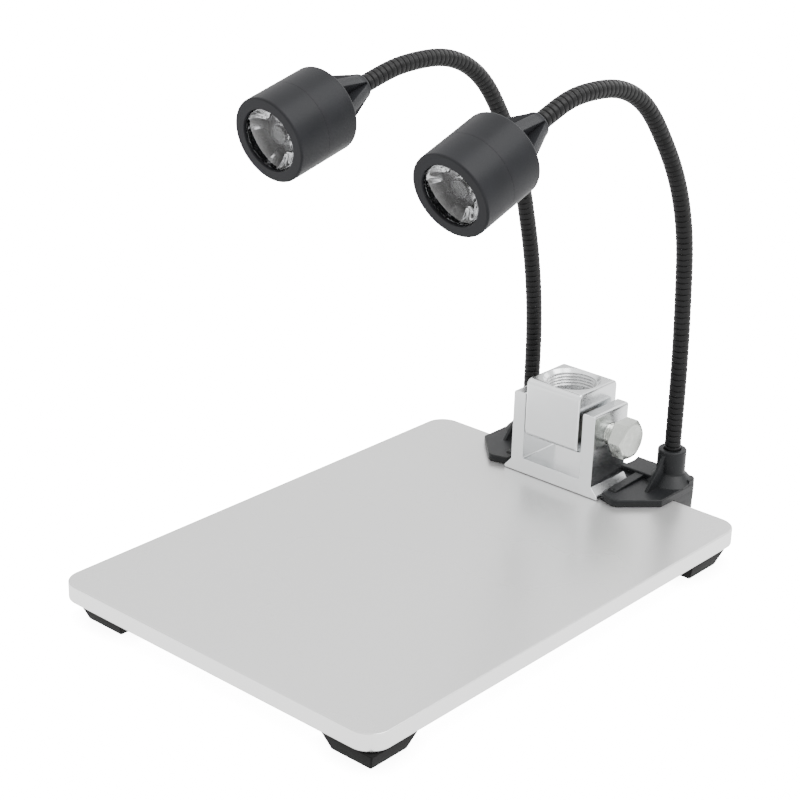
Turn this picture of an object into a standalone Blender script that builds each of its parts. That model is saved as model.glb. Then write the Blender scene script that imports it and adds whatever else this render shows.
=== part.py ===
"""Bench stand with a tilting column socket and two gooseneck lamps. Metres, +Z up, front towards -Y.

The origin is under the middle of the whole stand, on the floor. Heights named for the bracket, the block
and the lamp mount are measured from the plate's top, and depths of the mount from the plate's rear edge.
"""

import math

import bmesh
import bpy
from mathutils import Matrix, Vector

# Fits between separate pieces
SEAT_GAP = 0.0003
TURN_GAP = 0.0004

# Base plate
PLATE_WIDTH = 0.180
PLATE_LENGTH = 0.250
PLATE_THICKNESS = 0.008
PLATE_CORNER_RADIUS = 0.010
PLATE_EDGE_BEVEL = 0.0006

# Rubber feet, placed by how far their middles lie inside the plate's edges
FOOT_TOP_WIDTH = 0.0265
FOOT_SOLE_WIDTH = 0.0204
FOOT_HEIGHT = 0.0080
FOOT_INSET_RIGHT = 0.0138
FOOT_INSET_LEFT = 0.0229
FOOT_INSET_FRONT_RIGHT = 0.0140
FOOT_INSET_FRONT_LEFT = 0.0158
FOOT_INSET_REAR = 0.0242
FOOT_SCREW_RECESS = 0.0036
FOOT_SCREW_BITE = 0.0046

# Small screws: feet, lamp mount and mount cover
SCREW_SHANK = 0.0030
SCREW_HEAD = 0.0056
SCREW_HEAD_HEIGHT = 0.0020
SCREW_SOCKET = 0.0026
SCREW_SOCKET_DEPTH = 0.0011
MOUNT_SCREW_BITE = 0.0036
COVER_SCREW_BITE = 0.0042

# Large screws that hold the column bracket
BRACKET_SCREW_SHANK = 0.0050
BRACKET_SCREW_HEAD = 0.0085
BRACKET_SCREW_HEAD_HEIGHT = 0.0030
BRACKET_SCREW_SOCKET = 0.0040
BRACKET_SCREW_SOCKET_DEPTH = 0.0016
BRACKET_SCREW_BITE = 0.0046
BRACKET_SCREW_SPACING = 0.018

# Column bracket: an extrusion that runs front to back
BRACKET_DEPTH = 0.0264
BRACKET_TOE_WIDTH = 0.0550
BRACKET_TOE_THICKNESS = 0.0012
BRACKET_FLARE_HEIGHT = 0.0055
BRACKET_WIDTH = 0.0475
BRACKET_LEG = 0.0070
BRACKET_HEIGHT = 0.0410
BRACKET_WEB = 0.0075
BRACKET_ROUND = 0.0012

# Socket block, its friction washers and its threaded bore
HINGE_HEIGHT = 0.0295
BLOCK_DEPTH = 0.0300
BLOCK_ABOVE_HINGE = 0.0205
BLOCK_BELOW_HINGE = 0.0095
BLOCK_TOP_ROUND = 0.0028
BLOCK_HEEL_ROUND = 0.0050
WASHER_THICKNESS = 0.0008
WASHER_DIAMETER = 0.0180
SOCKET_MINOR = 0.0225
SOCKET_MAJOR = 0.0240
SOCKET_PITCH = 0.0015
SOCKET_TURNS = 4
SOCKET_MOUTH = 0.0272
SOCKET_DEPTH = 0.0128

# Hinge bolt, from the right
BOLT_DIAMETER = 0.0100
BOLT_HEAD_FLATS = 0.0170
BOLT_HEAD_HEIGHT = 0.0074
BOLT_STANDOFF = 0.0053
BOLT_END_INSET = 0.0010

# Lamp mount
MOUNT_WIDTH = 0.1064
MOUNT_FRONT = 0.0266
MOUNT_OVERHANG = 0.0185
MOUNT_NOSE_WIDTH = 0.0740
MOUNT_BRACKET_GAP = 0.0005
MOUNT_NOSE_RAKE = 0.0028
MOUNT_FLOOR = 0.0036
MOUNT_RIM = 0.0062
MOUNT_DROP = 0.0095
MOUNT_BRIDGE = 0.0006
MOUNT_WALL = 0.0021
MOUNT_ROOF = 0.0014
MOUNT_REAR_ROUND = 0.0030
NOTCH_RADIUS = 0.0200
NOTCH_BACK = 0.0120
RIDGE_WIDTH = 0.0048
RIDGE_FRONT = 0.0190
RIDGE_FRONT_HEIGHT = 0.0044
RIDGE_BACK_HEIGHT = 0.0056
BAND_BACK = 0.0040
OUTER_BAND_BACK = 0.0120
TUBE_INSET = 0.0107
TUBE_BACK = 0.0116
TUBE_DIAMETER = 0.0136
TUBE_TOP = 0.0200
TUBE_CHAMFER = 0.0005
CONE_DIAMETER = 0.0230
CONE_TOP = 0.0085
GUSSET_THICKNESS = 0.0016
GUSSET_FRONT = 0.0100
GUSSET_TOP = 0.0180
WIRE_HOLE = 0.0050
MOUNT_SCREW_FRONT = 0.0050
BOSS_SPACING = 0.0520
BOSS_DIAMETER = 0.0064
COVER_THICKNESS = 0.0016
BOARD_WIDTH = 0.0360
BOARD_DEPTH = 0.0095
BOARD_THICKNESS = 0.0016
GROMMET_DIAMETER = 0.0044
GROMMET_FLANGE = 0.0066
GROMMET_LIP = 0.0012
GROMMET_BORE = 0.0024
GROMMET_DOWN = 0.0047

# Ribbed hoses. Each bends at five pivots: its lengths run from pivot to pivot, its turns lie between them
HOSE_DIAMETER = 0.0080
HOSE_GROOVE = 0.0070
HOSE_BORE = 0.0044
HOSE_SEAT = 0.0100
HOSE_STUB = 0.0140
HOSE_TIP = 0.0100
RIB_PITCH = 0.0024
BORE_STEP = 0.0090
BALL_DIAMETER = 0.0070
CUP_DIAMETER = 0.0082
CUP_LIP = 0.0022
RIGHT_RISER_LENGTH = 0.0702
RIGHT_SHOULDER_LENGTH = 0.0791
RIGHT_CROOK_LENGTH = 0.0651
LEFT_RISER_LENGTH = 0.0854
LEFT_SHOULDER_LENGTH = 0.0603
LEFT_CROOK_LENGTH = 0.0716
WRIST_LENGTH = 0.0240
RIGHT_TURNS = (4.6, 32.2, 52.2, 20.6)
LEFT_TURNS = (15.3, 18.2, 56.7, 13.6)

# Lamp heads, measured forward along the lamp from the neck's tip
NECK_LENGTH = 0.0230
NECK_TIP_DIAMETER = 0.0100
NECK_TIP_LENGTH = 0.0028
NECK_CORE_DIAMETER = 0.0102
NECK_BASE_DIAMETER = 0.0276
NECK_SPIGOT = 0.0031
FIN_COUNT = 6
FIN_WIDTH = 0.0044
SHELL_DIAMETER = 0.0372
SHELL_LENGTH = 0.0334
SHELL_SEAM = 0.0172
SHELL_WALL = 0.0020
SHELL_EDGE = 0.0007
RIM_APERTURE = 0.0266
RIM_THICKNESS = 0.0025
SPIGOT_LENGTH = 0.0030
SPIGOT_ROOT = 0.0012
SPIGOT_WALL = 0.0010
LENS_FLANGE_DIAMETER = 0.0292
LENS_FLANGE = 0.0015
LENS_DEPTH = 0.0115
LENS_SMALL_DIAMETER = 0.0120
LENS_POCKET_DIAMETER = 0.0070
LENS_POCKET = 0.0025
HOLDER_WALL = 0.0010
LED_BOARD_DIAMETER = 0.0312
LED_BOARD_THICKNESS = 0.0016
LED_DIAMETER = 0.0070
LED_BASE_HEIGHT = 0.0008
LED_DOME_DIAMETER = 0.0050
HEAT_SINK_LENGTH = 0.0096
HEAT_SINK_BORE = 0.0116
HEAT_SINK_GROOVE = 0.0016

# How finely the round pieces are cut
HOSE_SIDES = 8
SCREW_SIDES = 8
SINK_SIDES = 16
ROUND_SIDES = 24
BORE_SIDES = 32
ARC_STEPS = 4

# Derived places
PLATE_BOTTOM = FOOT_HEIGHT + SEAT_GAP
PLATE_TOP = PLATE_BOTTOM + PLATE_THICKNESS
GROMMET_OUT = SEAT_GAP + GROMMET_LIP
PLATE_Y = -(MOUNT_OVERHANG + GROMMET_OUT) / 2
PLATE_REAR = PLATE_Y + PLATE_LENGTH / 2
PLATE_FRONT = PLATE_Y - PLATE_LENGTH / 2
BRACKET_BOTTOM = PLATE_TOP + SEAT_GAP
BRACKET_Y = PLATE_REAR - BRACKET_DEPTH / 2
HINGE = Vector((0.0, BRACKET_Y, PLATE_TOP + HINGE_HEIGHT))
LEG_INSIDE = BRACKET_WIDTH / 2 - BRACKET_LEG
BLOCK_WIDTH = 2 * (LEG_INSIDE - WASHER_THICKNESS - 2 * SEAT_GAP)
MOUNT_INSIDE = BRACKET_TOE_WIDTH / 2 + MOUNT_BRACKET_GAP
MOUNT_SCREW_OUT = MOUNT_INSIDE + RIDGE_WIDTH / 2
TUBE_OUT = MOUNT_WIDTH / 2 - TUBE_INSET
TUBE_Y = PLATE_REAR + TUBE_BACK
HOSE_FOOT = PLATE_TOP + TUBE_TOP - HOSE_SEAT
SHELL_BACK = NECK_LENGTH + SEAT_GAP
RIGHT_LENGTHS = (RIGHT_RISER_LENGTH, RIGHT_SHOULDER_LENGTH, RIGHT_CROOK_LENGTH, WRIST_LENGTH)
LEFT_LENGTHS = (LEFT_RISER_LENGTH, LEFT_SHOULDER_LENGTH, LEFT_CROOK_LENGTH, WRIST_LENGTH)
ARMS = {"right": (1, RIGHT_LENGTHS, RIGHT_TURNS), "left": (-1, LEFT_LENGTHS, LEFT_TURNS)}
PIVOT_NAMES = ("sway", "riser_bend", "shoulder_bend", "lamp_turn", "lamp_tilt")
HOSE_NAMES = ("stub", "riser", "shoulder", "crook", "wrist", "tip")

for leftover in list(bpy.data.objects):
    bpy.data.objects.remove(leftover, do_unlink=True)


def finish(name, colour, roughness, metallic=0.0, transmission=0.0):
    """A Principled material."""
    made = bpy.data.materials.new(name)
    made.use_nodes = True
    shader = made.node_tree.nodes["Principled BSDF"]
    shader.inputs["Base Color"].default_value = (*colour, 1.0)
    shader.inputs["Roughness"].default_value = roughness
    shader.inputs["Metallic"].default_value = metallic
    shader.inputs["Transmission Weight"].default_value = transmission
    return made


PLATE_FINISH = finish("blasted_aluminium", (0.62, 0.63, 0.64), 0.55, 0.6)
EXTRUSION_FINISH = finish("satin_aluminium", (0.66, 0.67, 0.68), 0.32, 0.9)
STEEL_FINISH = finish("zinc_steel", (0.48, 0.50, 0.47), 0.38, 0.9)
RUBBER_FINISH = finish("black_rubber", (0.02, 0.02, 0.02), 0.75)
MOULDING_FINISH = finish("black_moulding", (0.03, 0.03, 0.033), 0.38)
HOSE_FINISH = finish("black_hose", (0.02, 0.02, 0.022), 0.42)
LENS_FINISH = finish("clear_lens", (0.95, 0.96, 0.97), 0.05, 0.0, 0.9)
HOLDER_FINISH = finish("gloss_black", (0.015, 0.015, 0.016), 0.15)
LED_FINISH = finish("led_phosphor", (0.80, 0.76, 0.50), 0.35)
BOARD_FINISH = finish("white_board", (0.80, 0.80, 0.78), 0.45)
CIRCUIT_FINISH = finish("green_board", (0.03, 0.16, 0.07), 0.45)
SINK_FINISH = finish("bare_aluminium", (0.70, 0.70, 0.70), 0.40, 0.9)
FIBRE_FINISH = finish("washer_fibre", (0.30, 0.28, 0.25), 0.6)


def skin(rings, hollow):
    """A closed mesh through rings of equal point count: capped or, if hollow, joined end to end."""
    mesh = bmesh.new()
    made = [[mesh.verts.new(point) for point in ring] for ring in rings]
    count = len(made[0])
    steps = len(made) if hollow else len(made) - 1
    for index in range(steps):
        low = made[index]
        high = made[(index + 1) % len(made)]
        for corner in range(count):
            after = (corner + 1) % count
            mesh.faces.new((low[corner], low[after], high[after], high[corner]))
    if not hollow:
        mesh.faces.new(reversed(made[0]))
        mesh.faces.new(made[-1])
    bmesh.ops.recalc_face_normals(mesh, faces=mesh.faces)
    return mesh


def upright(along):
    """The frame of a piece turned about Z."""
    return Vector((0.0, 0.0, along)), Vector((1.0, 0.0, 0.0)), Vector((0.0, 1.0, 0.0))


def turned(profile, sides, hollow=False, frame=upright):
    """A turned piece from (along, radius) points. A frame other than Z sweeps it along a path."""
    rings = []
    for along, radius in profile:
        centre, across, over = frame(along)
        ring = []
        for step in range(sides):
            angle = 2 * math.pi * step / sides
            ring.append(centre + radius * (math.cos(angle) * across + math.sin(angle) * over))
        rings.append(ring)
    return skin(rings, hollow)


def along_x(first, second, along):
    return Vector((along, first, second))


def along_y(first, second, along):
    return Vector((first, along, second))


def along_z(first, second, along):
    return Vector((first, second, along))


def prism(outline, low, high, lift):
    """An outline of 2D points carried from low to high along the axis that lift stands for."""
    return skin([[lift(a, b, low) for a, b in outline], [lift(a, b, high) for a, b in outline]], False)


def block(x_low, x_high, y_low, y_high, z_low, z_high):
    outline = ((x_low, y_low), (x_high, y_low), (x_high, y_high), (x_low, y_high))
    return prism(outline, z_low, z_high, along_z)


def corner_arc(centre, radius, start_degrees, end_degrees):
    points = []
    for step in range(ARC_STEPS + 1):
        angle = math.radians(start_degrees + (end_degrees - start_degrees) * step / ARC_STEPS)
        points.append((centre[0] + radius * math.cos(angle), centre[1] + radius * math.sin(angle)))
    return points


def rounded(width, length, radius):
    """A rectangle about the origin with round corners."""
    side = width / 2 - radius
    end = length / 2 - radius
    points = corner_arc((side, end), radius, 0, 90)
    points += corner_arc((-side, end), radius, 90, 180)
    points += corner_arc((-side, -end), radius, 180, 270)
    return points + corner_arc((side, -end), radius, 270, 360)


def stepped_hole(bottom, wide, wide_depth, narrow, top):
    """A cutter that rises from bottom: a wide counterbore, then a narrow hole up to top."""
    shoulder = bottom + wide_depth
    start = bottom - wide_depth
    return turned(((start, wide), (shoulder, wide), (shoulder, narrow), (top, narrow)), SCREW_SIDES)


def shifted(mesh, x, y, z):
    bmesh.ops.translate(mesh, verts=mesh.verts, vec=(x, y, z))
    return mesh


def laid_along_x(mesh):
    """Turns a piece made about Z so that it points along +X."""
    bmesh.ops.rotate(mesh, verts=mesh.verts, cent=(0, 0, 0), matrix=Matrix.Rotation(math.pi / 2, 3, "Y"))
    return mesh


def laid_along_y(mesh):
    """Turns a piece made about Z so that it points along +Y."""
    bmesh.ops.rotate(mesh, verts=mesh.verts, cent=(0, 0, 0), matrix=Matrix.Rotation(-math.pi / 2, 3, "X"))
    return mesh


PIVOT_PLACES = {}


def pivot(name, place, parent=None):
    """An empty on a joint's axis. What moves with the joint is parented to it."""
    made = bpy.data.objects.new(name, None)
    made.empty_display_size = 0.01
    bpy.context.scene.collection.objects.link(made)
    made.parent = parent
    made.location = place - (PIVOT_PLACES[parent.name] if parent else Vector())
    PIVOT_PLACES[name] = place
    return made


def piece(name, mesh, material, carrier=None, pose=None, smooth=True):
    """A named object from a bmesh, in world places or under pose, carried by a pivot if there is one."""
    data = bpy.data.meshes.new(name)
    mesh.to_mesh(data)
    mesh.free()
    data.materials.append(material)
    if smooth:
        data.shade_smooth()
        data.set_sharp_from_angle(angle=math.radians(35))
    made = bpy.data.objects.new(name, data)
    bpy.context.scene.collection.objects.link(made)
    world = pose if pose else Matrix.Identity(4)
    if carrier:
        made.parent = carrier
        world = Matrix.Translation(-PIVOT_PLACES[carrier.name]) @ world
    made.matrix_basis = world
    return made


def shape(target, name, mesh, operation):
    """Joins, cuts or trims target with a hidden helper in the same place."""
    data = bpy.data.meshes.new(name)
    mesh.to_mesh(data)
    mesh.free()
    helper = bpy.data.objects.new(name, data)
    bpy.context.scene.collection.objects.link(helper)
    helper.parent = target.parent
    helper.matrix_basis = target.matrix_basis.copy()
    helper.hide_render = True
    helper.display_type = "WIRE"
    modifier = target.modifiers.new(name, "BOOLEAN")
    modifier.operation = operation
    modifier.solver = "EXACT"
    modifier.object = helper


def screw(shank, head, head_height, socket, socket_depth, length):
    """A socket-head screw pointing up, with its head's face at zero."""
    edge = head_height * 0.15
    profile = (
        (socket_depth, socket / 2),
        (0.0, socket / 2),
        (0.0, head / 2 - edge),
        (edge, head / 2),
        (head_height, head / 2),
        (head_height, shank / 2),
        (length - shank * 0.15, shank / 2),
        (length, shank * 0.35),
    )
    return turned(profile, SCREW_SIDES)


def small_screw(length):
    return screw(SCREW_SHANK, SCREW_HEAD, SCREW_HEAD_HEIGHT, SCREW_SOCKET, SCREW_SOCKET_DEPTH, length)


SMALL_HOLE = SCREW_SHANK / 2 + TURN_GAP
SMALL_WELL = SCREW_HEAD / 2 + TURN_GAP
SMALL_WELL_DEPTH = SCREW_HEAD_HEIGHT + 2 * SEAT_GAP
LARGE_HOLE = BRACKET_SCREW_SHANK / 2 + TURN_GAP
LARGE_WELL = BRACKET_SCREW_HEAD / 2 + TURN_GAP
LARGE_WELL_DEPTH = BRACKET_SCREW_HEAD_HEIGHT + 2 * SEAT_GAP
FOOT_PLACES = {
    "front_right": (PLATE_WIDTH / 2 - FOOT_INSET_RIGHT, PLATE_FRONT + FOOT_INSET_FRONT_RIGHT),
    "front_left": (FOOT_INSET_LEFT - PLATE_WIDTH / 2, PLATE_FRONT + FOOT_INSET_FRONT_LEFT),
    "rear_right": (PLATE_WIDTH / 2 - FOOT_INSET_RIGHT, PLATE_REAR - FOOT_INSET_REAR),
    "rear_left": (FOOT_INSET_LEFT - PLATE_WIDTH / 2, PLATE_REAR - FOOT_INSET_REAR),
}
SIDES = {"right": 1, "left": -1}


def build_plate():
    rings = []
    for inset, height in (
        (PLATE_EDGE_BEVEL, PLATE_BOTTOM),
        (0.0, PLATE_BOTTOM + PLATE_EDGE_BEVEL),
        (0.0, PLATE_TOP - PLATE_EDGE_BEVEL),
        (PLATE_EDGE_BEVEL, PLATE_TOP),
    ):
        outline = rounded(PLATE_WIDTH - 2 * inset, PLATE_LENGTH - 2 * inset, PLATE_CORNER_RADIUS - inset)
        rings.append([Vector((x, y + PLATE_Y, height)) for x, y in outline])
    plate = piece("base_plate", skin(rings, False), PLATE_FINISH, smooth=False)
    for name, (x, y) in FOOT_PLACES.items():
        depth = FOOT_SCREW_BITE + 2 * SEAT_GAP
        hole = turned(((-depth, SMALL_HOLE), (depth, SMALL_HOLE)), SCREW_SIDES)
        shape(plate, f"cut_plate_{name}", shifted(hole, x, y, PLATE_BOTTOM), "DIFFERENCE")
    for name, side in SIDES.items():
        hole = stepped_hole(PLATE_BOTTOM, LARGE_WELL, LARGE_WELL_DEPTH, LARGE_HOLE, PLATE_TOP + SEAT_GAP)
        shifted(hole, side * BRACKET_SCREW_SPACING / 2, BRACKET_Y, 0.0)
        shape(plate, f"cut_plate_bracket_{name}", hole, "DIFFERENCE")
        hole = stepped_hole(PLATE_BOTTOM, SMALL_WELL, SMALL_WELL_DEPTH, SMALL_HOLE, PLATE_TOP + SEAT_GAP)
        shifted(hole, side * MOUNT_SCREW_OUT, PLATE_REAR - MOUNT_SCREW_FRONT, 0.0)
        shape(plate, f"cut_plate_mount_{name}", hole, "DIFFERENCE")


def build_feet():
    for name, (x, y) in FOOT_PLACES.items():
        rings = []
        for side, height in ((FOOT_SOLE_WIDTH, 0.0), (FOOT_TOP_WIDTH, FOOT_HEIGHT)):
            half = side / 2
            corners = ((half, half), (-half, half), (-half, -half), (half, -half))
            rings.append([Vector((a, b, height)) for a, b in corners])
        place = Matrix.Translation((x, y, 0.0))
        foot = piece(f"foot_{name}", skin(rings, False), RUBBER_FINISH, pose=place, smooth=False)
        hole = stepped_hole(0.0, SMALL_WELL, FOOT_SCREW_RECESS, SMALL_HOLE, FOOT_HEIGHT + SEAT_GAP)
        shape(foot, f"cut_foot_{name}", hole, "DIFFERENCE")
        face = FOOT_SCREW_RECESS - SEAT_GAP - SCREW_HEAD_HEIGHT
        length = PLATE_BOTTOM + FOOT_SCREW_BITE - face
        place = Matrix.Translation((x, y, face))
        piece(f"foot_screw_{name}", small_screw(length), STEEL_FINISH, pose=place)


def bracket_outline():
    """The extrusion's section: one half from its toe up the leg and down to the web, then the other."""
    top = BRACKET_HEIGHT - BRACKET_ROUND
    outside = BRACKET_WIDTH / 2
    half = [
        (BRACKET_TOE_WIDTH / 2, 0.0),
        (BRACKET_TOE_WIDTH / 2, BRACKET_TOE_THICKNESS),
        (outside, BRACKET_FLARE_HEIGHT),
    ]
    half += corner_arc((outside - BRACKET_ROUND, top), BRACKET_ROUND, 0, 90)
    half += corner_arc((LEG_INSIDE + BRACKET_ROUND, top), BRACKET_ROUND, 90, 180)
    half.append((LEG_INSIDE, BRACKET_WEB))
    return half + [(-x, z) for x, z in reversed(half)]


def build_bracket():
    mesh = prism(bracket_outline(), -BRACKET_DEPTH / 2, BRACKET_DEPTH / 2, along_y)
    place = Matrix.Translation((0.0, BRACKET_Y, BRACKET_BOTTOM))
    bracket = piece("column_bracket", mesh, EXTRUSION_FINISH, pose=place)
    bolt_hole = BOLT_DIAMETER / 2 + TURN_GAP
    hole = laid_along_x(turned(((-BRACKET_WIDTH, bolt_hole), (BRACKET_WIDTH, bolt_hole)), ROUND_SIDES))
    shifted(hole, 0.0, 0.0, HINGE.z - BRACKET_BOTTOM)
    shape(bracket, "cut_bracket_bolt", hole, "DIFFERENCE")
    for name, side in SIDES.items():
        depth = BRACKET_SCREW_BITE + SEAT_GAP
        hole = turned(((-depth, LARGE_HOLE), (depth, LARGE_HOLE)), SCREW_SIDES)
        shifted(hole, side * BRACKET_SCREW_SPACING / 2, 0.0, 0.0)
        shape(bracket, f"cut_bracket_screw_{name}", hole, "DIFFERENCE")
        face = PLATE_BOTTOM + SEAT_GAP
        length = BRACKET_BOTTOM + BRACKET_SCREW_BITE - face
        mesh = screw(
            BRACKET_SCREW_SHANK,
            BRACKET_SCREW_HEAD,
            BRACKET_SCREW_HEAD_HEIGHT,
            BRACKET_SCREW_SOCKET,
            BRACKET_SCREW_SOCKET_DEPTH,
            length,
        )
        place = Matrix.Translation((side * BRACKET_SCREW_SPACING / 2, BRACKET_Y, face))
        piece(f"bracket_screw_{name}", mesh, STEEL_FINISH, pose=place)


def build_socket():
    tilt = pivot("column_tilt", HINGE)
    top_y = BLOCK_DEPTH / 2 - BLOCK_TOP_ROUND
    top_z = BLOCK_ABOVE_HINGE - BLOCK_TOP_ROUND
    heel_y = BLOCK_DEPTH / 2 - BLOCK_HEEL_ROUND
    heel_z = BLOCK_HEEL_ROUND - BLOCK_BELOW_HINGE
    outline = corner_arc((top_y, top_z), BLOCK_TOP_ROUND, 0, 90)
    outline += corner_arc((-top_y, top_z), BLOCK_TOP_ROUND, 90, 180)
    outline += corner_arc((-heel_y, heel_z), BLOCK_HEEL_ROUND, 180, 270)
    outline += corner_arc((heel_y, heel_z), BLOCK_HEEL_ROUND, 270, 360)
    mesh = prism(outline, -BLOCK_WIDTH / 2, BLOCK_WIDTH / 2, along_x)
    place = Matrix.Translation(HINGE)
    body = piece("socket_block", mesh, EXTRUSION_FINISH, tilt, place)
    taper = (SOCKET_MOUTH - SOCKET_MINOR) / 2
    profile = [(taper, SOCKET_MOUTH / 2 + taper), (-taper, SOCKET_MINOR / 2)]
    for turn in range(SOCKET_TURNS):
        start = -taper - SOCKET_PITCH * turn
        profile.append((start - SOCKET_PITCH / 2, SOCKET_MAJOR / 2))
        profile.append((start - SOCKET_PITCH, SOCKET_MINOR / 2))
    relief = (SOCKET_MINOR + SOCKET_MAJOR) / 4
    profile.append((-taper - SOCKET_PITCH * SOCKET_TURNS - SOCKET_PITCH / 2, relief))
    profile.append((-SOCKET_DEPTH, relief))
    bore = shifted(turned(profile, BORE_SIDES), 0.0, 0.0, BLOCK_ABOVE_HINGE)
    shape(body, "cut_socket_bore", bore, "DIFFERENCE")
    bolt_hole = BOLT_DIAMETER / 2 + TURN_GAP
    hole = laid_along_x(turned(((-BLOCK_WIDTH, bolt_hole), (BLOCK_WIDTH, bolt_hole)), ROUND_SIDES))
    shape(body, "cut_socket_bolt", hole, "DIFFERENCE")
    for name, side in SIDES.items():
        ring = (
            (0.0, bolt_hole),
            (0.0, WASHER_DIAMETER / 2),
            (WASHER_THICKNESS, WASHER_DIAMETER / 2),
            (WASHER_THICKNESS, bolt_hole),
        )
        mesh = laid_along_x(turned(ring, ROUND_SIDES, hollow=True))
        inner = BLOCK_WIDTH / 2 + SEAT_GAP
        x = inner if side > 0 else -inner - WASHER_THICKNESS
        place = Matrix.Translation((x, HINGE.y, HINGE.z))
        piece(f"hinge_washer_{name}", mesh, FIBRE_FINISH, pose=place)


def build_bolt():
    """Rings run from the head's outer face inwards, whose chamfer dips to each corner of the hexagon."""
    turn = pivot("hinge_bolt_turn", HINGE)
    flat = BOLT_HEAD_FLATS / 2
    face = flat * 0.95
    slope = math.tan(math.radians(30))
    hexagon = []
    angles = []
    for step in range(ROUND_SIDES):
        angle = 2 * math.pi * step / ROUND_SIDES
        from_flat = angle % (math.pi / 3) - math.pi / 6
        hexagon.append(flat / math.cos(from_flat))
        angles.append(angle)
    shank = BOLT_DIAMETER / 2
    head = BRACKET_WIDTH / 2 + BOLT_STANDOFF + BOLT_HEAD_HEIGHT
    end = BOLT_END_INSET - BRACKET_WIDTH / 2
    tip = BOLT_DIAMETER * 0.1
    stations = (
        ([head] * ROUND_SIDES, [face] * ROUND_SIDES),
        ([head - (radius - face) * slope for radius in hexagon], hexagon),
        ([head - BOLT_HEAD_HEIGHT] * ROUND_SIDES, hexagon),
        ([head - BOLT_HEAD_HEIGHT] * ROUND_SIDES, [shank] * ROUND_SIDES),
        ([end + tip] * ROUND_SIDES, [shank] * ROUND_SIDES),
        ([end] * ROUND_SIDES, [shank - tip] * ROUND_SIDES),
    )
    rings = []
    for places, radii in stations:
        ring = []
        for x, radius, angle in zip(places, radii, angles):
            ring.append(Vector((x, radius * math.cos(angle), radius * math.sin(angle))))
        rings.append(ring)
    piece("hinge_bolt", skin(rings, False), STEEL_FINISH, turn, Matrix.Translation(HINGE))


def mount_outline():
    """The mount seen from above, counted from the plate's rear edge."""
    half = MOUNT_WIDTH / 2
    nose = MOUNT_NOSE_WIDTH / 2
    back = MOUNT_OVERHANG - MOUNT_REAR_ROUND
    outline = [(MOUNT_INSIDE, MOUNT_NOSE_RAKE - MOUNT_FRONT), (nose, -MOUNT_FRONT)]
    outline.append((half, half - nose - MOUNT_FRONT))
    outline += corner_arc((half - MOUNT_REAR_ROUND, back), MOUNT_REAR_ROUND, 0, 90)
    return outline + [(-x, y) for x, y in reversed(outline)]


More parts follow.
